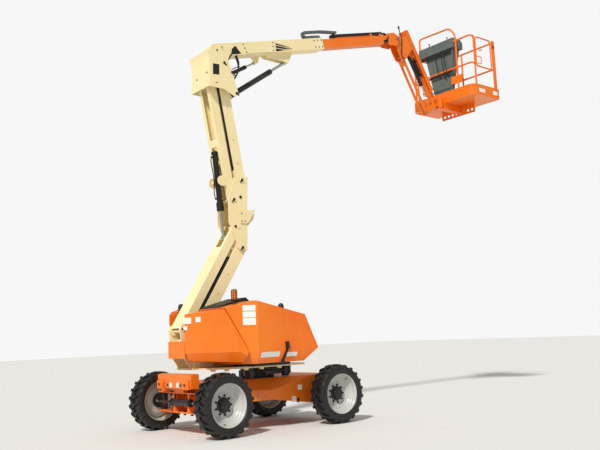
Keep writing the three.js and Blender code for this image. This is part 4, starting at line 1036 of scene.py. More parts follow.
def turntable_plates():
    """Blank white plates on the hood and the ballast."""
    bm = bmesh.new()
    panel = (SHOULDER - CREASE).normalized()
    out = panel.cross(Z_AXIS) * -1
    corner = axes(panel, Z_AXIS, -out, at(*CREASE) + panel * 0.025 + out * 0.0005)
    for z0, z1 in ((1.555, 1.625), (1.470, 1.545), (1.375, 1.462)):
        add_box(bm, (0.0, z0, -0.0015), (0.165, z1, 0.0015), corner)
    tucked = Matrix.Translation(at(0, OUTER_Y["near"], HOOD_BREAK)) @ Matrix.Rotation(
        math.atan2(HOOD_TUCK, HOOD_BREAK - HOOD_FOOT), 4, "X")
    add_box(bm, (-0.400, -0.0014, -0.098), (-0.105, 0.001, -0.026), tucked)
    add_box(bm, (0.005, -0.0014, -0.105), (0.185, 0.001, -0.045), tucked)
    finish_piece(bm, "near_hood_plates", "plate", "near_hood", flat=True)
    bm = bmesh.new()
    for turn, z0, z1 in ((-175, 1.425, 1.505), (-171, 1.425, 1.505), (-163, 1.440, 1.505),
                         (-175, 1.345, 1.395), (173, 1.10, 1.20)):
        out = polar(1.0, math.radians(turn))
        place = axes(Z_AXIS.cross(out), Z_AXIS, out,
                     at(*TAIL_CENTRE) + out * (TAIL_RADIUS + 0.0005))
        add_box(bm, (-0.0415, z0, -0.002), (0.0415, z1, 0.001), place)
    finish_piece(bm, "ballast_plates", "plate", "turntable", flat=True)


def turntable_under_fittings():
    """Swing gearbox, its motor, pipes and small brackets under the base plate."""
    bm = bmesh.new()
    for x, y in ((-0.185, -0.345), (0.47, -0.28)):
        add_rod(bm, at(x, y, 0.700), at(x, y, 0.818), 0.080, 28, bevel=0.006)
        add_rod(bm, at(x, y, 0.668), at(x, y, 0.702), 0.055, 28, bevel=0.004)
    add_box(bm, at(0.02, -0.42, 0.708), at(0.32, -0.335, 0.816), bevel=0.010)
    finish_piece(bm, "swing_drive", "black", "turntable")
    bm = bmesh.new()
    for x, y in ((-0.72, -0.28), (-0.60, -0.42), (-0.35, -0.50), (-0.10, -0.50), (0.20, -0.50)):
        add_box(bm, at(x - 0.028, y - 0.02, 0.790), at(x + 0.028, y + 0.02, 0.8165),
                bevel=0.002)
    finish_piece(bm, "base_brackets", "cream", "turntable")
    bm = bmesh.new()
    for offset in (0.0, 0.022, 0.044):
        add_sweep(bm, [at(-0.12, -0.36 - offset, 0.78), at(-0.02, -0.44 - offset, 0.755),
                       at(0.12, -0.46 - offset, 0.765), at(0.28, -0.44 - offset, 0.750),
                       at(0.42, -0.36 - offset / 2, 0.77)], hose_radius())
    finish_piece(bm, "swing_hoses", "hose", "turntable")


class BOOMLIFT_OT_turntable(bpy.types.Operator):
    """Turntable, hoods, ballast and what stands on them"""

    bl_idname = "boomlift.turntable"
    bl_label = "Turntable"

    def execute(self, context):
        worked_copy("turntable_frame", "cream", 0.003)
        worked_copy("engine", "iron", 0.012)
        worked_copy("hydraulic_tank", "black", 0.012)
        for side in ("near", "far"):
            hood = finish_piece(hood_mesh(side), f"{side}_hood_sheet", "orange", f"{side}_hood",
                                (f"{side}_hood",))
            wall = hood.modifiers.new("wall", "SOLIDIFY")
            wall.thickness = HOOD_SHEET
            wall.offset = -1
            hood.modifiers.move(len(hood.modifiers) - 1, 0)
            finish_piece(tail_mesh(side), f"ballast_{side}", "orange", "turntable",
                         (f"counterweight_{side}",))
        turntable_tail_cover()
        turntable_beacon()
        worked_copy("exhaust_cover", "plastic", 0.006)
        turntable_hood_fittings()
        turntable_plates()
        turntable_under_fittings()
        return {"FINISHED"}

# ---------------------------------------------------------------- tower and booms

TOWER_HALF = 0.130              # half the width of the tower arms
UPRIGHT_HALF = 0.163
REST_FACE = 0.171
HEAD_HALF = 0.250
BOOM_HALF = 0.110
BOOM_COVER = 0.117              # outer face of the bolted cover
FLY_HALF = 0.090
CHANNEL_HALF = 0.083
JIB_CABLES_Y = 0.0415
LOWER = along(joint_at("tower_lift"), joint_at("upright_level"))
UPPER = along(joint_at("upper_tower_turn"), joint_at("head_level"))
BOOM = along(joint_at("boom_lift"), joint_at("boom_lift") - Vector(JOINTS["telescope"]["axis"]))
JIB = along(joint_at("jib_lift"), joint_at("jib_end_level"))


def add_pin_head(bm, pivot, side, half, radius=0.021, turn=0.0):
    """The end of a pivot pin with its keeper plate and two bolts."""
    face = BOOM_Y + side * half
    add_rod(bm, (pivot.x, face - side * 0.002, pivot.z), (pivot.x, face + side * 0.014, pivot.z),
            radius, 28, bevel=0.003)
    place = Matrix.Translation((pivot.x, 0, pivot.z)) @ Matrix.Rotation(turn, 4, "Y")
    low, high = band(side, 0, 0.006, face)
    add_box(bm, (-0.011, low, -0.052), (0.011, high, -radius * 0.6), place, bevel=0.002)
    spot = place @ Vector((0, face + side * 0.005, -0.042))
    add_bolt(bm, spot, (0, side, 0), 0.012)


def add_pin_heads(bm, pivots, half, degrees, radius=0.021):
    """Pin heads on both sides of each pivot, their keepers turned by the given angle."""
    for pivot in pivots:
        for side in (-1, 1):
            add_pin_head(bm, pivot, side, half, radius, math.radians(degrees))


def unit(joint):
    """Direction of a joint's axis."""
    return Vector(JOINTS[joint]["axis"]).normalized()


def tower_upright_fittings():
    """Pins, round openings shown as black discs of painted shade, and the boom's rest bracket on the upright."""
    bm = bmesh.new()
    add_pin_heads(bm, [joint_at(name) for name in (
        "upright_level", "upper_tower_turn", "upper_link_turn")], UPRIGHT_HALF - 0.001, 35)
    finish_piece(bm, "upright_pins", "iron", "upright")
    # black discs of painted shade where the upright has round holes
    bm = bmesh.new()
    for side in (-1, 1):
        face = BOOM_Y + side * UPRIGHT_HALF
        for x, z, radius in ((-2.100, 3.234, 0.022), (-2.199, 2.800, 0.020)):
            add_rod(bm, (x, face, z), (x, face + side * 0.0015, z), radius, 20)
    finish_piece(bm, "upright_holes_painted_shade", "black", "upright")
    bm = bmesh.new()
    outline = ((-2.125, 3.020), (-1.950, 3.050), (-1.850, 3.062), (-1.965, 2.880),
               (-2.020, 2.850), (-2.115, 2.850))
    for side in (-1, 1):
        add_plate(bm, outline, *band(side, UPRIGHT_HALF, REST_FACE, BOOM_Y), bevel=0.002)
    add_plate(bm, [(-1.990, 3.036), (-1.850, 3.055), (-1.850, 3.062), (-1.990, 3.043)],
              BOOM_Y - 0.164, BOOM_Y + 0.164)
    finish_piece(bm, "rest_bracket", "cream", "upright")
    bm = bmesh.new()
    for side in (-1, 1):
        add_bolts(bm, [(x, BOOM_Y + side * REST_FACE, z) for x, z in (
            (-2.095, 2.995), (-2.095, 2.880), (-2.040, 2.885))], (0, side, 0), 0.014)
    finish_piece(bm, "rest_bolts", "iron", "upright")


def tower_head_fittings():
    """Pins, bolts and openings of the head, the openings shown as black sheets of painted shade, and the pins at
    the tower's foot.
    """
    bm = bmesh.new()
    add_pin_heads(bm, [joint_at(name) for name in (
        "head_level", "level_cylinder_tilt", "lift_cylinder_tilt")], HEAD_HALF + 0.001, -60,
                  0.020)
    for side in (-1, 1):
        add_bolts(bm, [(x, BOOM_Y + side * HEAD_HALF, z) for x, z in (
            (-2.495, 5.351), (-2.414, 5.412))], (0, side, 0), 0.020)
    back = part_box("tower_head")[0].x + 0.030
    add_bolts(bm, [(back, 0.02, 5.010), (back, 0.30, 4.975)], (-1, 0, 0), 0.018)
    finish_piece(bm, "head_pins", "iron", "head")
    # black plate and disc of painted shade where the head has openings
    bm = bmesh.new()
    for side in (-1, 1):
        face = BOOM_Y + side * (HEAD_HALF - 0.0005)
        add_plate(bm, [(-2.574, 4.975), (-2.466, 4.985), (-2.463, 5.142), (-2.570, 5.136)],
                  *band(side, 0, 0.0015, face))
        add_rod(bm, (-2.518, face, 4.870), (-2.518, face + side * 0.0015, 4.870), 0.020, 20)
    finish_piece(bm, "head_openings_painted_shade", "black", "head")
    bm = bmesh.new()
    add_pin_heads(bm, [joint_at(name) for name in ("tower_lift", "lower_link_turn")],
                  0.158, 120)
    finish_piece(bm, "foot_pins", "iron", "turntable")


def tower_glands():
    """End caps, hose ports and the pipe of the tower cylinder."""
    start, line = joint_at("tower_cylinder_tilt"), unit("tower_ram_slide")
    bm = bmesh.new()
    for low, high, radius in ((0.300, 0.425, 0.0535), (-0.440, -0.405, 0.052)):
        add_rod(bm, start + line * low, start + line * high, radius, 32, bevel=0.004)
    for low in (-0.36, 0.25):
        port = start + line * low + Vector((-0.050, 0, 0))
        add_rod(bm, port, port + Vector((-0.020, 0, 0)), 0.014, 6)
    finish_piece(bm, "tower_cylinder_caps", "black", "tower_barrel")
    bm = bmesh.new()
    route = ((-0.36, -0.066, 0), (-0.30, -0.078, 0), (-0.05, -0.070, -0.020),
             (0.18, -0.078, 0), (0.25, -0.066, 0))
    add_sweep(bm, [start + line * far + Vector((x, y, 0)) for far, x, y in route],
              hose_radius() * 0.8)
    finish_piece(bm, "tower_cylinder_pipe", "black", "tower_barrel")


def tower_screws():
    """Plated screws along the arms."""
    for name, arm, places in (("lower", LOWER, (0.30, 0.62, 0.94, 1.26)),
                              ("upper", UPPER, (0.25, 0.60, 1.10, 1.45))):
        bm = bmesh.new()
        for side in (-1, 1):
            add_bolts(bm, on(arm, [(x, side * TOWER_HALF, 0) for x in places]),
                      (0, side, 0), 0.012)
        finish_piece(bm, f"{name}_arm_screws", "zinc", f"{name}_tower")


def tower_cables_and_gap_shade():
    """Black cables in a row along the lower arm over a black strip of painted shade, and a black strip of painted
    shade along the upper arm, darkening the shaded gaps between arm and link.
    """
    bm = bmesh.new()
    for side in (-1, 1):
        low, high = band(side, 0.048, 0.118)
        # black strip of painted shade under the cables for the shaded gap beside the link; the cables are partly
        # real hoses, partly added for shade
        add_box(bm, (0.22, low, 0.0865), (1.50, high, 0.098), LOWER, bevel=0.002)
        for lane in range(3):
            y = side * (0.060 + lane * 0.0235)
            add_sweep(bm, on(LOWER, [(0.23, y, 0.106), (1.49, y, 0.106)]), 0.011)
    finish_piece(bm, "lower_arm_cables_and_painted_shade", "hose", "lower_tower")
    bm = bmesh.new()
    for side in (-1, 1):
        low, high = band(side, 0.078, 0.129)
        # black strip of painted shade for the shaded gap along the upper arm
        add_box(bm, (0.16, low, 0.0845), (1.46, high, 0.0895), UPPER, bevel=0.001)
    finish_piece(bm, "upper_arm_painted_shade", "hose", "upper_tower")


class BOOMLIFT_OT_tower(bpy.types.Operator):
    """Tower arms, upright, head and their pins, pads and cylinder"""

    bl_idname = "boomlift.tower"
    bl_label = "Tower"

    def execute(self, context):
        worked_copies("cream", 0.004, "lower_tower_arm", "lower_tower_link", "tower_upright",
                      "upper_tower_arm", "upper_tower_link", "tower_head")
        worked_copy("tower_cylinder", "black")
        worked_copy("tower_ram", "chrome", ROD_EDGE)
        tower_upright_fittings()
        tower_head_fittings()
        tower_glands()
        tower_screws()
        tower_cables_and_gap_shade()
        return {"FINISHED"}


def booms_side_cover():
    """Bolted cover plates, openings shown as black plates of painted shade, and their strips on both sides of the
    boom.
    """
    place = BOOM @ Matrix.Translation((0, -BOOM_Y, 0))
    bm = bmesh.new()
    for side in (-1, 1):
        add_plate(bm, [(0.520, -0.085), (0.475, 0.082), (1.130, 0.082), (1.085, -0.085)],
                  *band(side, BOOM_HALF - 0.001, BOOM_COVER, BOOM_Y), place, bevel=0.002)
    finish_piece(bm, "boom_covers", "cream", "main_boom")
    bm = bmesh.new()
    for side in (-1, 1):
        add_bolts(bm, on(BOOM, [(x, side * BOOM_COVER, z) for x, z in (
            (0.510, 0.062), (0.525, 0.0), (0.540, -0.062), (1.085, 0.062), (1.080, 0.0),
            (1.065, -0.062))]), (0, side, 0), 0.015)
        add_bolts(bm, on(BOOM, [(x, side * BOOM_HALF, z) for x in (1.98, 2.06, 2.14)
                                for z in (-0.055, 0.055)]), (0, side, 0), 0.016)
    finish_piece(bm, "boom_bolts", "iron", "main_boom")
    # black plates of painted shade where the boom's sides are open
    bm = bmesh.new()
    for side in (-1, 1):
        layer = band(side, BOOM_HALF - 0.001, BOOM_HALF + 0.001, BOOM_Y)
        add_plate(bm, [(1.150, 0.050), (1.460, -0.040), (1.460, -0.060), (1.125, -0.084)],
                  *layer, place)
        add_plate(bm, [(0.300, 0.030), (0.340, 0.078), (0.440, -0.080), (0.250, -0.080)],
                  *layer, place)
    finish_piece(bm, "boom_openings_painted_shade", "black", "main_boom")
    bm = bmesh.new()
    for side in (-1, 1):
        y = side * (BOOM_HALF + 0.003)
        for strip in (((1.14, 0.018), (1.34, -0.030), (1.46, -0.045)),
                      ((1.13, -0.030), (1.30, -0.062), (1.44, -0.060))):
            add_sweep(bm, on(BOOM, [(x, y, z) for x, z in strip]), 0.006)
    finish_piece(bm, "opening_strips", "cream", "main_boom")


def booms_cable_carrier():
    """Link carrier looped over the boom's mouth and the black tube it lies in above the fly."""
    route = rounded(on(BOOM, [
        (2.140, -0.066, 0.122), (1.800, -0.066, 0.122), (1.800, -0.066, 0.205),
        (2.200, -0.066, 0.205), (2.540, -0.066, 0.176)]), 0.040)
    bm = bmesh.new()
    pitch = 0.038
    carried = pitch / 2
    for start, end in zip(route, route[1:]):
        step = end - start
        while carried < step.length:
            spot = start + step * (carried / step.length)
            place = along(spot, spot + step)
            add_box(bm, (-0.016, -0.034, -0.019), (0.016, 0.034, 0.019), place, bevel=0.003)
            add_box(bm, (-0.021, -0.028, -0.012), (0.021, 0.028, 0.012), place)
            carried += pitch
        carried -= step.length
    finish_piece(bm, "cable_carrier", "grey", "main_boom")
    for name, low, high, bevel, body in (
            ("carrier_shelf", (1.76, -0.104, 0.094), (2.18, -0.032, 0.101), 0.002, "main_boom"),
            ("carrier_tube", (2.50, -0.022, 0.110), (3.74, 0.062, 0.166), 0.006, "fly")):
        bm = bmesh.new()
        add_box(bm, low, high, BOOM, bevel)
        finish_piece(bm, name, "black", body)
    bm = bmesh.new()
    add_box(bm, (2.56, -0.021, 0.101), (3.40, 0.061, 0.110), BOOM, bevel=0.002)
    for x in (3.44, 3.68):
        for side in (-1, 1):
            low, high = band(side, 0.043, 0.050, 0.020)
            add_box(bm, (x - 0.025, low, 0.068), (x + 0.025, high, 0.140), BOOM, bevel=0.002)
    finish_piece(bm, "tube_cradles", "orange", "fly")
    bm = bmesh.new()
    for lane, drop in ((-0.05, 0.02), (-0.02, 0.05), (0.03, 0.0)):
        y = -FLY_HALF - 0.010 + lane * 0.1
        add_sweep(bm, on(BOOM, [
            (3.62, 0.0, 0.130), (3.76, lane, 0.130), (3.80, y, 0.060),
            (3.74, y, -0.010 - drop), (3.66, y + 0.012, -0.020 - drop)]), hose_radius())
    finish_piece(bm, "fly_hoses", "hose", "fly")


def booms_glands():
    """Rod glands, hose ports and pipes of the boom's cylinders."""
    line = unit("level_ram_slide")
    level_start = joint_at("level_cylinder_tilt")
    level_start.y = sum(corner.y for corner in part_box("level_master_cylinder")) / 2
    above = Y_AXIS.cross(line)
    above = above if above.z > 0 else -above
    for name, start, line, up, port, front, radius, body in (
            ("main_lift", joint_at("lift_cylinder_tilt"), unit("lift_ram_slide"), -Y_AXIS,
             0.450, 0.990, 0.042, "lift_barrel"),
            ("level_master", level_start, line, above, 0.180, 0.625, 0.030, "level_barrel")):
        bm = bmesh.new()
        add_rod(bm, start + line * (front - 0.075), start + line * (front + 0.004),
                radius + 0.002, 32, bevel=0.003)
        add_rod(bm, start + line * 0.060, start + line * 0.085, radius + 0.003, 32, bevel=0.003)
        for spot in (port, front - 0.13):
            foot = start + line * spot + up * (radius - 0.002)
            add_rod(bm, foot, foot + up * 0.020, 0.012, 6)
        finish_piece(bm, f"{name}_caps", "black", body)
        bm = bmesh.new()
        add_sweep(bm, [start + line * far + up * (radius + lift) for far, lift in (
            (port, 0.018), (port + 0.04, 0.028), ((port + front) / 2, 0.022),
            (front - 0.17, 0.028), (front - 0.13, 0.018))], 0.007)
        finish_piece(bm, f"{name}_pipe", "black", body)


def booms_hoses():
    """Hose loops between the tower head and the boom."""
    bm = bmesh.new()
    for lane in range(3):
        y = 0.008 + lane * 0.017
        add_sweep(bm, [(-2.330, y, 5.100), (-2.295, y, 5.210), (-2.220, y + 0.006, 5.335),
                       (-2.150 + lane * 0.02, y + 0.008, 5.445), (-2.105, y + 0.010, 5.500)],
                  hose_radius())
        add_sweep(bm, [(-2.320, y, 5.080),
                       (-2.250 + lane * 0.015, y - 0.005, 5.030 - lane * 0.03),
                       (-2.140, y - 0.005, 5.045 - lane * 0.02),
                       (-2.080 + lane * 0.012, y, 5.150), (-2.075, y + 0.004, 5.270),
                       (-2.110, y + 0.010, 5.370)], hose_radius())
    piece = finish_piece(bm, "head_hoses", "hose", None)
    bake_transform(piece)


def booms_end_pads():
    """Wear pads at the mouth of the main boom."""
    bm = bmesh.new()
    for side in (-1, 1):
        low, high = band(side, FLY_HALF + 0.003, BOOM_HALF - 0.004)
        add_box(bm, (2.10, low, -0.050), (2.182, high, 0.050), BOOM, bevel=0.002)
    finish_piece(bm, "boom_pads", "plastic", "main_boom")


class BOOMLIFT_OT_booms(bpy.types.Operator):
    """Main boom, fly boom, their cylinders, cable carrier and hoses"""

    bl_idname = "boomlift.booms"
    bl_label = "Booms"

    def execute(self, context):
        worked_copy("main_boom", "cream", 0.004)
        worked_copy("fly_boom", "orange", 0.004)
        for name in ("main_lift", "level_master"):
            worked_copy(f"{name}_cylinder", "black")
            worked_copy(f"{name}_ram", "chrome", ROD_EDGE)
        booms_side_cover()
        booms_cable_carrier()
        booms_glands()
        booms_hoses()
        booms_end_pads()
        return {"FINISHED"}


def jib_side_channels():
    """Pressed side channels outside the knuckle, from the jib's top end down its front."""
    place = JIB @ Matrix.Translation((0, -BOOM_Y, 0))
    outline = ((-0.296, -0.034), (-0.286, 0.036), (0.925, 0.043), (0.925, -0.043),
               (-0.20, -0.043))
    bm = bmesh.new()
    for side in (-1, 1):
        add_plate(bm, outline, *band(side, 0.0780, 0.0805, BOOM_Y), place)
        low, high = band(side, 0.0800, CHANNEL_HALF, BOOM_Y)
        for z0, z1 in ((-0.043, -0.008), (0.008, 0.043)):
            add_box(bm, (-0.27, low, z0), (0.925, high, z1), place)
    for x in (0.42, 0.66, 0.88):
        for side in (-1, 1):
            low, high = band(side, 0.030, 0.079, BOOM_Y)
            add_box(bm, (x, low, -0.020), (x + 0.04, high, 0.020), place)
    finish_piece(bm, "jib_channels", "orange", "jib")
    bm = bmesh.new()
    for side in (-1, 1):
        for x, z in ((-0.265, 0.0), (0.0, -0.026), (0.0, 0.026), (0.055, 0.0)):
            add_bolt(bm, JIB @ Vector((x, side * CHANNEL_HALF, z)), (0, side, 0), 0.015, 0.004)
    finish_piece(bm, "channel_bolts", "zinc", "jib")


def jib_pins():
    """Pin heads and bolts at the jib's pivots."""
    bm = bmesh.new()
    add_pin_heads(bm, [joint_at("jib_knuckle_level")], FLY_HALF + 0.016, -60, 0.034)
    finish_piece(bm, "nose_pins", "zinc", "fly")
    bm = bmesh.new()
    end = joint_at("jib_end_level")
    link_end = joint_at("jib_link_turn") + (end - joint_at("jib_lift"))
    add_pin_heads(bm, [link_end], 0.066, 80, 0.024)
    add_pin_heads(bm, [end], 0.052, -80, 0.024)
    finish_piece(bm, "bracket_pins", "zinc", "jib_end")


def jib_cables():
    """Control cables and hoses clipped to the jib arm, and the one at the knuckle."""
    bm = bmesh.new()
    for y in (-JIB_CABLES_Y, JIB_CABLES_Y):
        for lane in range(6):
            z = -0.052 - lane * 0.0125
            add_sweep(bm, on(JIB, [(0.22 + lane * 0.01, y, z), (0.40, y, z - 0.004),
                                   (0.62 - lane * 0.012, y, z)]), 0.0062)
    finish_piece(bm, "jib_cables", "hose", "jib")
    bm = bmesh.new()
    for x in (0.30, 0.44, 0.56):
        for y in (-JIB_CABLES_Y, JIB_CABLES_Y):
            add_box(bm, (x - 0.010, y - 0.0060, -0.120), (x + 0.010, y + 0.0060, -0.040), JIB)
    finish_piece(bm, "jib_clips", "plastic", "jib")
    bm = bmesh.new()
    y = BOOM_Y - 0.094
    add_sweep(bm, [(x, y, z) for x, z in (
        (1.535, 6.675), (1.548, 6.600), (1.600, 6.500), (1.590, 6.330), (1.568, 6.200),
        (1.590, 6.120), (1.640, 6.090))], 0.008)
    add_rod(bm, (1.535, y, 6.640), (1.533, y, 6.690), 0.016, 14, bevel=0.003)
    finish_piece(bm, "knuckle_cable", "hose", "knuckle_jib")


def jib_glands():
    """Gland of the jib cylinder."""
    start, line = joint_at("jib_cylinder_tilt"), unit("jib_ram_slide")
    bm = bmesh.new()
    add_rod(bm, start + line * 0.535, start + line * 0.604, 0.0328, 28, bevel=0.003)
    finish_piece(bm, "jib_lift_cap", "black", "jib_barrel")


class BOOMLIFT_OT_jib(bpy.types.Operator):
    """Jib arm, link, knuckle, end bracket, cylinder and cables"""

    bl_idname = "boomlift.jib"
    bl_label = "Jib"

    def execute(self, context):
        worked_copy("jib_knuckle", "orange", 0.003, trim=(
            (JIB @ Vector((0, 0, 0.034)), (0.866, 0, 0.5)),
            (Vector((1.70, 0, 6.54)), (-0.25, 0, 0.97))))
        worked_copies("orange", 0.003, "jib_arm", "jib_link", "jib_end_bracket")
        jib_side_channels()
        worked_copy("jib_lift_cylinder", "black")
        worked_copy("jib_lift_ram", "chrome", ROD_EDGE)
        jib_pins()
        jib_cables()
        jib_glands()
        return {"FINISHED"}

# ---------------------------------------------------------------- platform

DECK_LOW, DECK_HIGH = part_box("platform_floor")
RAILS_LOW, RAILS_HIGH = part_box("platform_rails")
RAIL = 0.017
DECK_Z = DECK_LOW.z
RAIL_TOP = DECK_Z + 1.143
MID_RAIL = DECK_Z + 0.604
TOE_TOP = DECK_Z + 0.200
POST_FOOT = DECK_Z + 0.0203
BACK_X = RAILS_LOW.x + RAIL
FRONT_X = RAILS_HIGH.x - RAIL
NEAR_Y = RAILS_LOW.y + RAIL
FAR_Y = RAILS_HIGH.y - RAIL
GATE_POST_X = DECK_LOW.x + 0.125
CONSOLE_LOW, CONSOLE_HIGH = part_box("platform_console")
FLAT_POST = (DECK_HIGH.x - 0.106, DECK_HIGH.x - 0.024)


def platform_rails():
    """Bent tube rails and posts, the hoop over the console and the flat post."""
    corner = 0.110
    top = RAIL_TOP - RAIL
    bm = bmesh.new()
    routes = [
        [(GATE_POST_X, NEAR_Y, top), (BACK_X, NEAR_Y, top),
         (BACK_X, CONSOLE_LOW.y - 0.0003, top)],
        [(BACK_X, CONSOLE_HIGH.y + 0.0003, top), (BACK_X, FAR_Y, top), (FRONT_X, FAR_Y, top),
         (FRONT_X, NEAR_Y, top)],
        [(GATE_POST_X, NEAR_Y, MID_RAIL), (BACK_X, NEAR_Y, MID_RAIL), (BACK_X, FAR_Y, MID_RAIL),
         (FRONT_X, FAR_Y, MID_RAIL), (FRONT_X, NEAR_Y, MID_RAIL)],
    ]
    for route in routes:
        add_sweep(bm, route, RAIL, 16, corner)
    leg_y = CONSOLE_LOW.y - 0.050
    hoop_far = CONSOLE_HIGH.y - 0.020
    hoop_top = RAIL_TOP + 0.289
    add_sweep(bm, [(BACK_X, hoop_far, CONSOLE_HIGH.z), (BACK_X, hoop_far, hoop_top),
                   (BACK_X, leg_y + 0.130, hoop_top - 0.025), (BACK_X, leg_y, RAIL_TOP + 0.090),
                   (BACK_X, leg_y, POST_FOOT)], RAIL, 16, 0.070)
    posts = ((GATE_POST_X, NEAR_Y), (FRONT_X, BOOM_Y + 0.045), (FRONT_X, FAR_Y - 0.150),
             (GATE_POST_X, FAR_Y), (BACK_X, FAR_Y - 0.150))
    for x, y in posts:
        add_sweep(bm, [(x, y, POST_FOOT), (x, y, top - 0.004)], RAIL, 16, 0.001)
    add_box(bm, (FLAT_POST[0], NEAR_Y - 0.008, POST_FOOT),
            (FLAT_POST[1], NEAR_Y + 0.008, RAIL_TOP), bevel=0.003)
    add_box(bm, (BACK_X - 0.004, leg_y - 0.100, DECK_Z + 0.305),
            (BACK_X + 0.004, leg_y + 0.160, DECK_Z + 0.450), bevel=0.0015)
    finish_piece(bm, "guard_rails", "orange", "platform", ("platform_rails",))
    bm = bmesh.new()
    for x, y in posts + ((BACK_X, leg_y),):
        for low, high in ((top - RAIL - 0.004, top - RAIL + 0.004),
                          (MID_RAIL - RAIL - 0.004, MID_RAIL - RAIL + 0.004),
                          (TOE_TOP - 0.004, TOE_TOP + 0.002)):
            add_rod(bm, (x, y, low), (x, y, high), RAIL + 0.003, 20)
    finish_piece(bm, "rail_welds", "orange", "platform")


def platform_gate():
    """Inward gate of bent tube with its hinges and latch loop."""
    low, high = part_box("platform_gate")
    y, tube = NEAR_Y, 0.014
    hinge_x, _, foot = JOINTS["gate_hinge"]["pos_m"]
    free_x = low.x + tube
    top = high.z - tube
    bm = bmesh.new()
    add_sweep(bm, [(hinge_x, y, foot + 0.3), (hinge_x, y, foot), (free_x, y, foot),
                   (free_x, y, top), (hinge_x, y, top), (hinge_x, y, foot + 0.3)],
              tube, 16, 0.070)
    add_sweep(bm, [(free_x, y, foot + 0.060), (free_x + 0.150, y, foot + 0.060),
                   (free_x + 0.150, y, foot + 0.190), (free_x, y, foot + 0.190)], 0.008, 12, 0.020)
    for z in (foot + 0.120, top - 0.120):
        add_rod(bm, (hinge_x, y, z), (hinge_x + 0.0385, y, z), 0.0075, 14)
    finish_piece(bm, "gate_frame", "orange", "gate", ("platform_gate",))
    bm = bmesh.new()
    for z in (foot + 0.075, foot + 0.175):
        add_rod(bm, (free_x - tube, y, z), (free_x - 0.030, y, z), 0.007, 12, bevel=0.001)
    finish_piece(bm, "gate_catches", "zinc", "gate")


def platform_floor_tread():
    """Rows of raised teardrops on the floor."""
    bm = bmesh.new()
    pitch = 0.060
    columns = int((DECK_HIGH.x - DECK_LOW.x - 0.10) / pitch)
    rows = int((DECK_HIGH.y - DECK_LOW.y - 0.12) / pitch)
    for column in range(columns):
        for row in range(rows):
            spot = Vector((DECK_LOW.x + 0.07 + column * pitch, DECK_LOW.y + 0.08 + row * pitch,
                           POST_FOOT + 0.0005))
            turn = math.radians(45 if (column + row) % 2 else -45)
            place = Matrix.Translation(spot) @ Matrix.Rotation(turn, 4, "Z")
            add_box(bm, (-0.016, -0.004, -0.0008), (0.016, 0.004, 0.0016), place)
    finish_piece(bm, "floor_tread", "orange", "platform", flat=True)


def platform_fittings():
    """Bolts, harness rings, latch plate and blank plates."""
    bm = bmesh.new()
    add_bolts(bm, [(DECK_LOW.x, y, DECK_Z + 0.040) for y in (0.26, 0.50, 0.74, -0.04, -0.28)],
              (-1, 0, 0), 0.016)
    add_bolts(bm, [(x, DECK_LOW.y, z) for x in (FLAT_POST[0] + 0.018, FLAT_POST[1] - 0.018)
                   for z in (DECK_Z + 0.06, DECK_Z + 0.15)], (0, -1, 0), 0.016)
    finish_piece(bm, "platform_bolts", "zinc", "platform")
    bm = bmesh.new()
    for y in (NEAR_Y + 0.30, FAR_Y - 0.38):
        centre = Vector((FRONT_X - 0.020, y, RAIL_TOP - 0.075))
        ring = [centre + polar(0.026, math.pi / 2 + turn) for turn in turns(16) + [math.tau]]
        add_sweep(bm, ring, 0.006, 10)
    finish_piece(bm, "harness_rings", "zinc", "platform")
    bm = bmesh.new()
    add_box(bm, (FLAT_POST[0] + 0.004, NEAR_Y - 0.0115, RAIL_TOP - 0.150),
            (FLAT_POST[1] - 0.004, NEAR_Y - 0.007, RAIL_TOP - 0.085), bevel=0.001)
    finish_piece(bm, "latch_plate", "red", "platform")
    bm = bmesh.new()
    near = DECK_LOW.y - 0.0012
    for x0, x1, z0, z1 in ((0.155, 0.330, 0.055, 0.125), (0.560, 0.700, 0.060, 0.135)):
        add_box(bm, (DECK_LOW.x + x0, near, DECK_Z + z0),
                (DECK_LOW.x + x1, near + 0.002, DECK_Z + z1))
    finish_piece(bm, "platform_plates", "plate", "platform", flat=True)


class BOOMLIFT_OT_platform(bpy.types.Operator):
    """Basket floor, toe board, guard rails, gate and what carries them"""

    bl_idname = "boomlift.platform"
    bl_label = "Platform"

    def execute(self, context):
        worked_copy("platform_floor", "orange", 0.002)
        worked_copy("platform_support", "orange", 0.003)
        platform_rails()
        platform_gate()
        platform_floor_tread()
        platform_fittings()
        return {"FINISHED"}


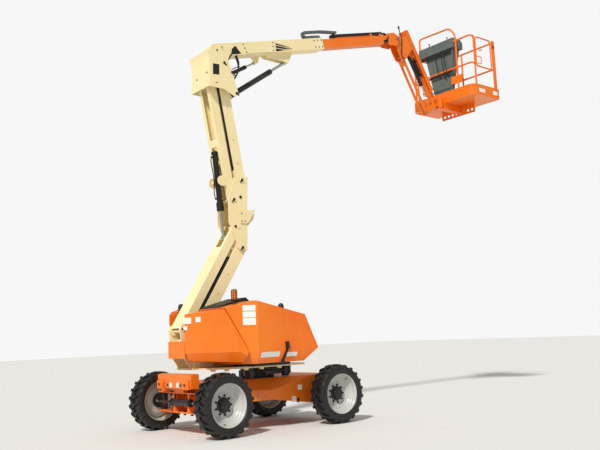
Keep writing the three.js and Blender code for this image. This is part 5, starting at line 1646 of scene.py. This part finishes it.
class BOOMLIFT_OT_console(bpy.types.Operator):
    """Control box with its levers, stop button, switches and cables"""

    bl_idname = "boomlift.console"
    bl_label = "Console"

    def execute(self, context):
        worked_copy("platform_console", "grey", 0.008)
        low, high = CONSOLE_LOW, CONSOLE_HIGH
        slope_x = high.x - 0.060
        bm = bmesh.new()
        for y, size in ((0.05, 0.7), (0.50, 0.8)):
            place = Matrix.Translation((low.x + 0.090, y, high.z)) @ Matrix.Scale(size, 4)
            add_turned(bm, [(0.0, -0.001), (0.034, -0.001), (0.034, 0.006), (0.026, 0.016),
                            (0.030, 0.020), (0.020, 0.032), (0.010, 0.040), (0.008, 0.078),
                            (0.014, 0.084), (0.017, 0.112), (0.012, 0.128), (0.0, 0.131)],
                       place, 24)
        finish_piece(bm, "console_levers", "plastic", "platform")
        bm = bmesh.new()
        add_turned(bm, [(0.0, 0.0), (0.024, 0.0), (0.024, 0.010), (0.012, 0.012), (0.012, 0.022),
                        (0.021, 0.026), (0.021, 0.036), (0.0, 0.040)],
                   Matrix.Translation((low.x + 0.16, 0.64, high.z - 0.001)), 24)
        finish_piece(bm, "stop_button", "red", "platform")
        bm = bmesh.new()
        for index in range(7):
            y = 0.12 + index * 0.045
            foot = Vector((low.x + 0.185, y, high.z))
            add_rod(bm, foot - Z_AXIS * 0.001, foot + Z_AXIS * 0.007, 0.010, 16)
            add_rod(bm, foot + Z_AXIS * 0.006, foot + Vector((0.007, 0, 0.026)), 0.0036, 10)
        finish_piece(bm, "console_switches", "zinc", "platform")
        bm = bmesh.new()
        add_box(bm, (low.x + 0.010, low.y + 0.03, high.z - 0.0005),
                (slope_x - 0.005, high.y - 0.03, high.z + 0.0012), bevel=0.0005)
        # on the front face: a black panel of painted shade under the lid, then two black strips
        for y0, y1, z0, z1 in ((low.y + 0.055, high.y - 0.060, 0.937, 1.012),
                               (-0.082, 0.520, 0.525, 0.565), (-0.046, 0.410, 0.240, 0.256)):
            add_box(bm, (low.x - 0.0015, y0, DECK_Z + z0), (low.x + 0.002, y1, DECK_Z + z1))
        finish_piece(bm, "console_face_and_painted_shade", "plastic", "platform")
        bm = bmesh.new()
        for y, drop in ((0.10, 0.46), (0.16, 0.50), (0.30, 0.44)):
            foot = high.z - 0.187
            add_sweep(bm, [(low.x + 0.030, y, foot + 0.01), (low.x, y, foot - 0.04),
                           (low.x + 0.004, y - 0.02, foot - drop / 2),
                           (low.x + 0.012, y - 0.06, foot - drop),
                           (low.x + 0.030, y - 0.08, foot - drop - 0.08)], 0.009)
        finish_piece(bm, "console_cables", "hose", "platform")
        return {"FINISHED"}


# ---------------------------------------------------------------- stage


FLOOR_HALF = 60.0
BACKDROP = 0.93                 # brightness of the sheet behind the machine
SUN_TURN = (46.7, 0, -58.5)     # degrees
VIEW_POINT = (-6.22761, -9.00408, 1.22340)
VIEW_TURN = (39.0369, 8.1299, -2.3627)      # heading, pitch and roll in degrees
SENSOR_MM = 36.0
LENS_MM = 46.06


def stage_camera(scene):
    """A standing viewer's camera, turned a little on its own axis."""
    lens = bpy.data.cameras.new("view")
    lens.sensor_width = SENSOR_MM
    lens.lens = LENS_MM
    lens.clip_end = 200
    holder = bpy.data.objects.new("view", lens)
    heading, pitch, roll = [math.radians(angle) for angle in VIEW_TURN]
    ahead = Vector((math.sin(heading) * math.cos(pitch), math.cos(heading) * math.cos(pitch),
                    math.sin(pitch)))
    right = Vector((math.cos(heading), -math.sin(heading), 0))
    up = right.cross(ahead)
    holder.matrix_world = axes(right * math.cos(roll) + up * math.sin(roll),
                               up * math.cos(roll) - right * math.sin(roll), -ahead,
                               at(*VIEW_POINT))
    scene.collection.objects.link(holder)
    scene.camera = holder


class BOOMLIFT_OT_stage(bpy.types.Operator):
    """Floor, soft lights and camera"""

    bl_idname = "boomlift.stage"
    bl_label = "Stage"

    def execute(self, context):
        scene = context.scene
        wished = scene.boom_lift_stage
        bm = bmesh.new()
        bmesh.ops.create_grid(bm, x_segments=1, y_segments=1, size=FLOOR_HALF)
        mesh = bpy.data.meshes.new("floor")
        bm.to_mesh(mesh)
        bm.free()
        floor = bpy.data.objects.new("floor", mesh)
        scene.collection.objects.link(floor)
        material, tree, shader, place = start_material("pale_floor", Roughness=0.9, IOR=1.4)
        shade = spread(tree, noise(tree, place, 1.2, 2.0), 0.3, 0.7)
        colour = mixed(tree, times(tree, shade, 0.1), linear(wished.floor), linear("#EDEDEA"))
        tree.links.new(colour, shader.inputs["Base Color"])
        mesh.materials.append(material)
        world = bpy.data.worlds.new("studio")
        world.use_nodes = True
        backdrop = world.node_tree.nodes["Background"]
        backdrop.inputs["Color"].default_value = (1.0, 1.0, 1.0, 1.0)
        # the sheet behind the machine is lit brighter than the room that lights the machine
        path = add_node(world.node_tree, "ShaderNodeLightPath")
        level = spread(world.node_tree, path.outputs["Is Camera Ray"], 0.0, 1.0, wished.room,
                       BACKDROP)
        world.node_tree.links.new(level, backdrop.inputs["Strength"])
        scene.world = world
        sun = bpy.data.lights.new("key", "SUN")
        sun.energy = wished.light
        sun.angle = math.radians(5)
        sun.color = (1.0, 0.97, 0.92)
        key = bpy.data.objects.new("key", sun)
        key.rotation_euler = [math.radians(angle) for angle in SUN_TURN]
        scene.collection.objects.link(key)
        scene.view_settings.view_transform = "Standard"
        stage_camera(scene)
        return {"FINISHED"}


OPERATORS = (BOOMLIFT_OT_wheels, BOOMLIFT_OT_chassis, BOOMLIFT_OT_turntable, BOOMLIFT_OT_tower,
             BOOMLIFT_OT_booms, BOOMLIFT_OT_jib, BOOMLIFT_OT_platform, BOOMLIFT_OT_console,
             BOOMLIFT_OT_stage)


class BOOMLIFT_PT_panel(bpy.types.Panel):
    """Lists the machine's pieces and the sizes that may be changed"""

    bl_idname = "BOOMLIFT_PT_panel"
    bl_label = "Boom lift"
    bl_space_type = "VIEW_3D"
    bl_region_type = "UI"
    bl_category = "Boom lift"

    def draw(self, context):
        for name, group in GROUPS.items():
            box = self.layout.box()
            box.label(text=group.__doc__)
            for key in group.__annotations__:
                box.prop(getattr(context.scene, name), key)
        for operator in OPERATORS:
            self.layout.operator(operator.bl_idname)


def register():
    for name, group in GROUPS.items():
        bpy.utils.register_class(group)
        setattr(bpy.types.Scene, name, bpy.props.PointerProperty(type=group))
    for operator in OPERATORS:
        bpy.utils.register_class(operator)
    bpy.utils.register_class(BOOMLIFT_PT_panel)


def unregister():
    bpy.utils.unregister_class(BOOMLIFT_PT_panel)
    for operator in reversed(OPERATORS):
        bpy.utils.unregister_class(operator)
    for name, group in reversed(GROUPS.items()):
        delattr(bpy.types.Scene, name)
        bpy.utils.unregister_class(group)


def main():
    """Builds every group in order."""
    register()
    FINISH.update(make_materials())
    for operator in OPERATORS:
        family, name = operator.bl_idname.split(".")
        getattr(getattr(bpy.ops, family), name)()


if __name__ == "__main__":
    main()
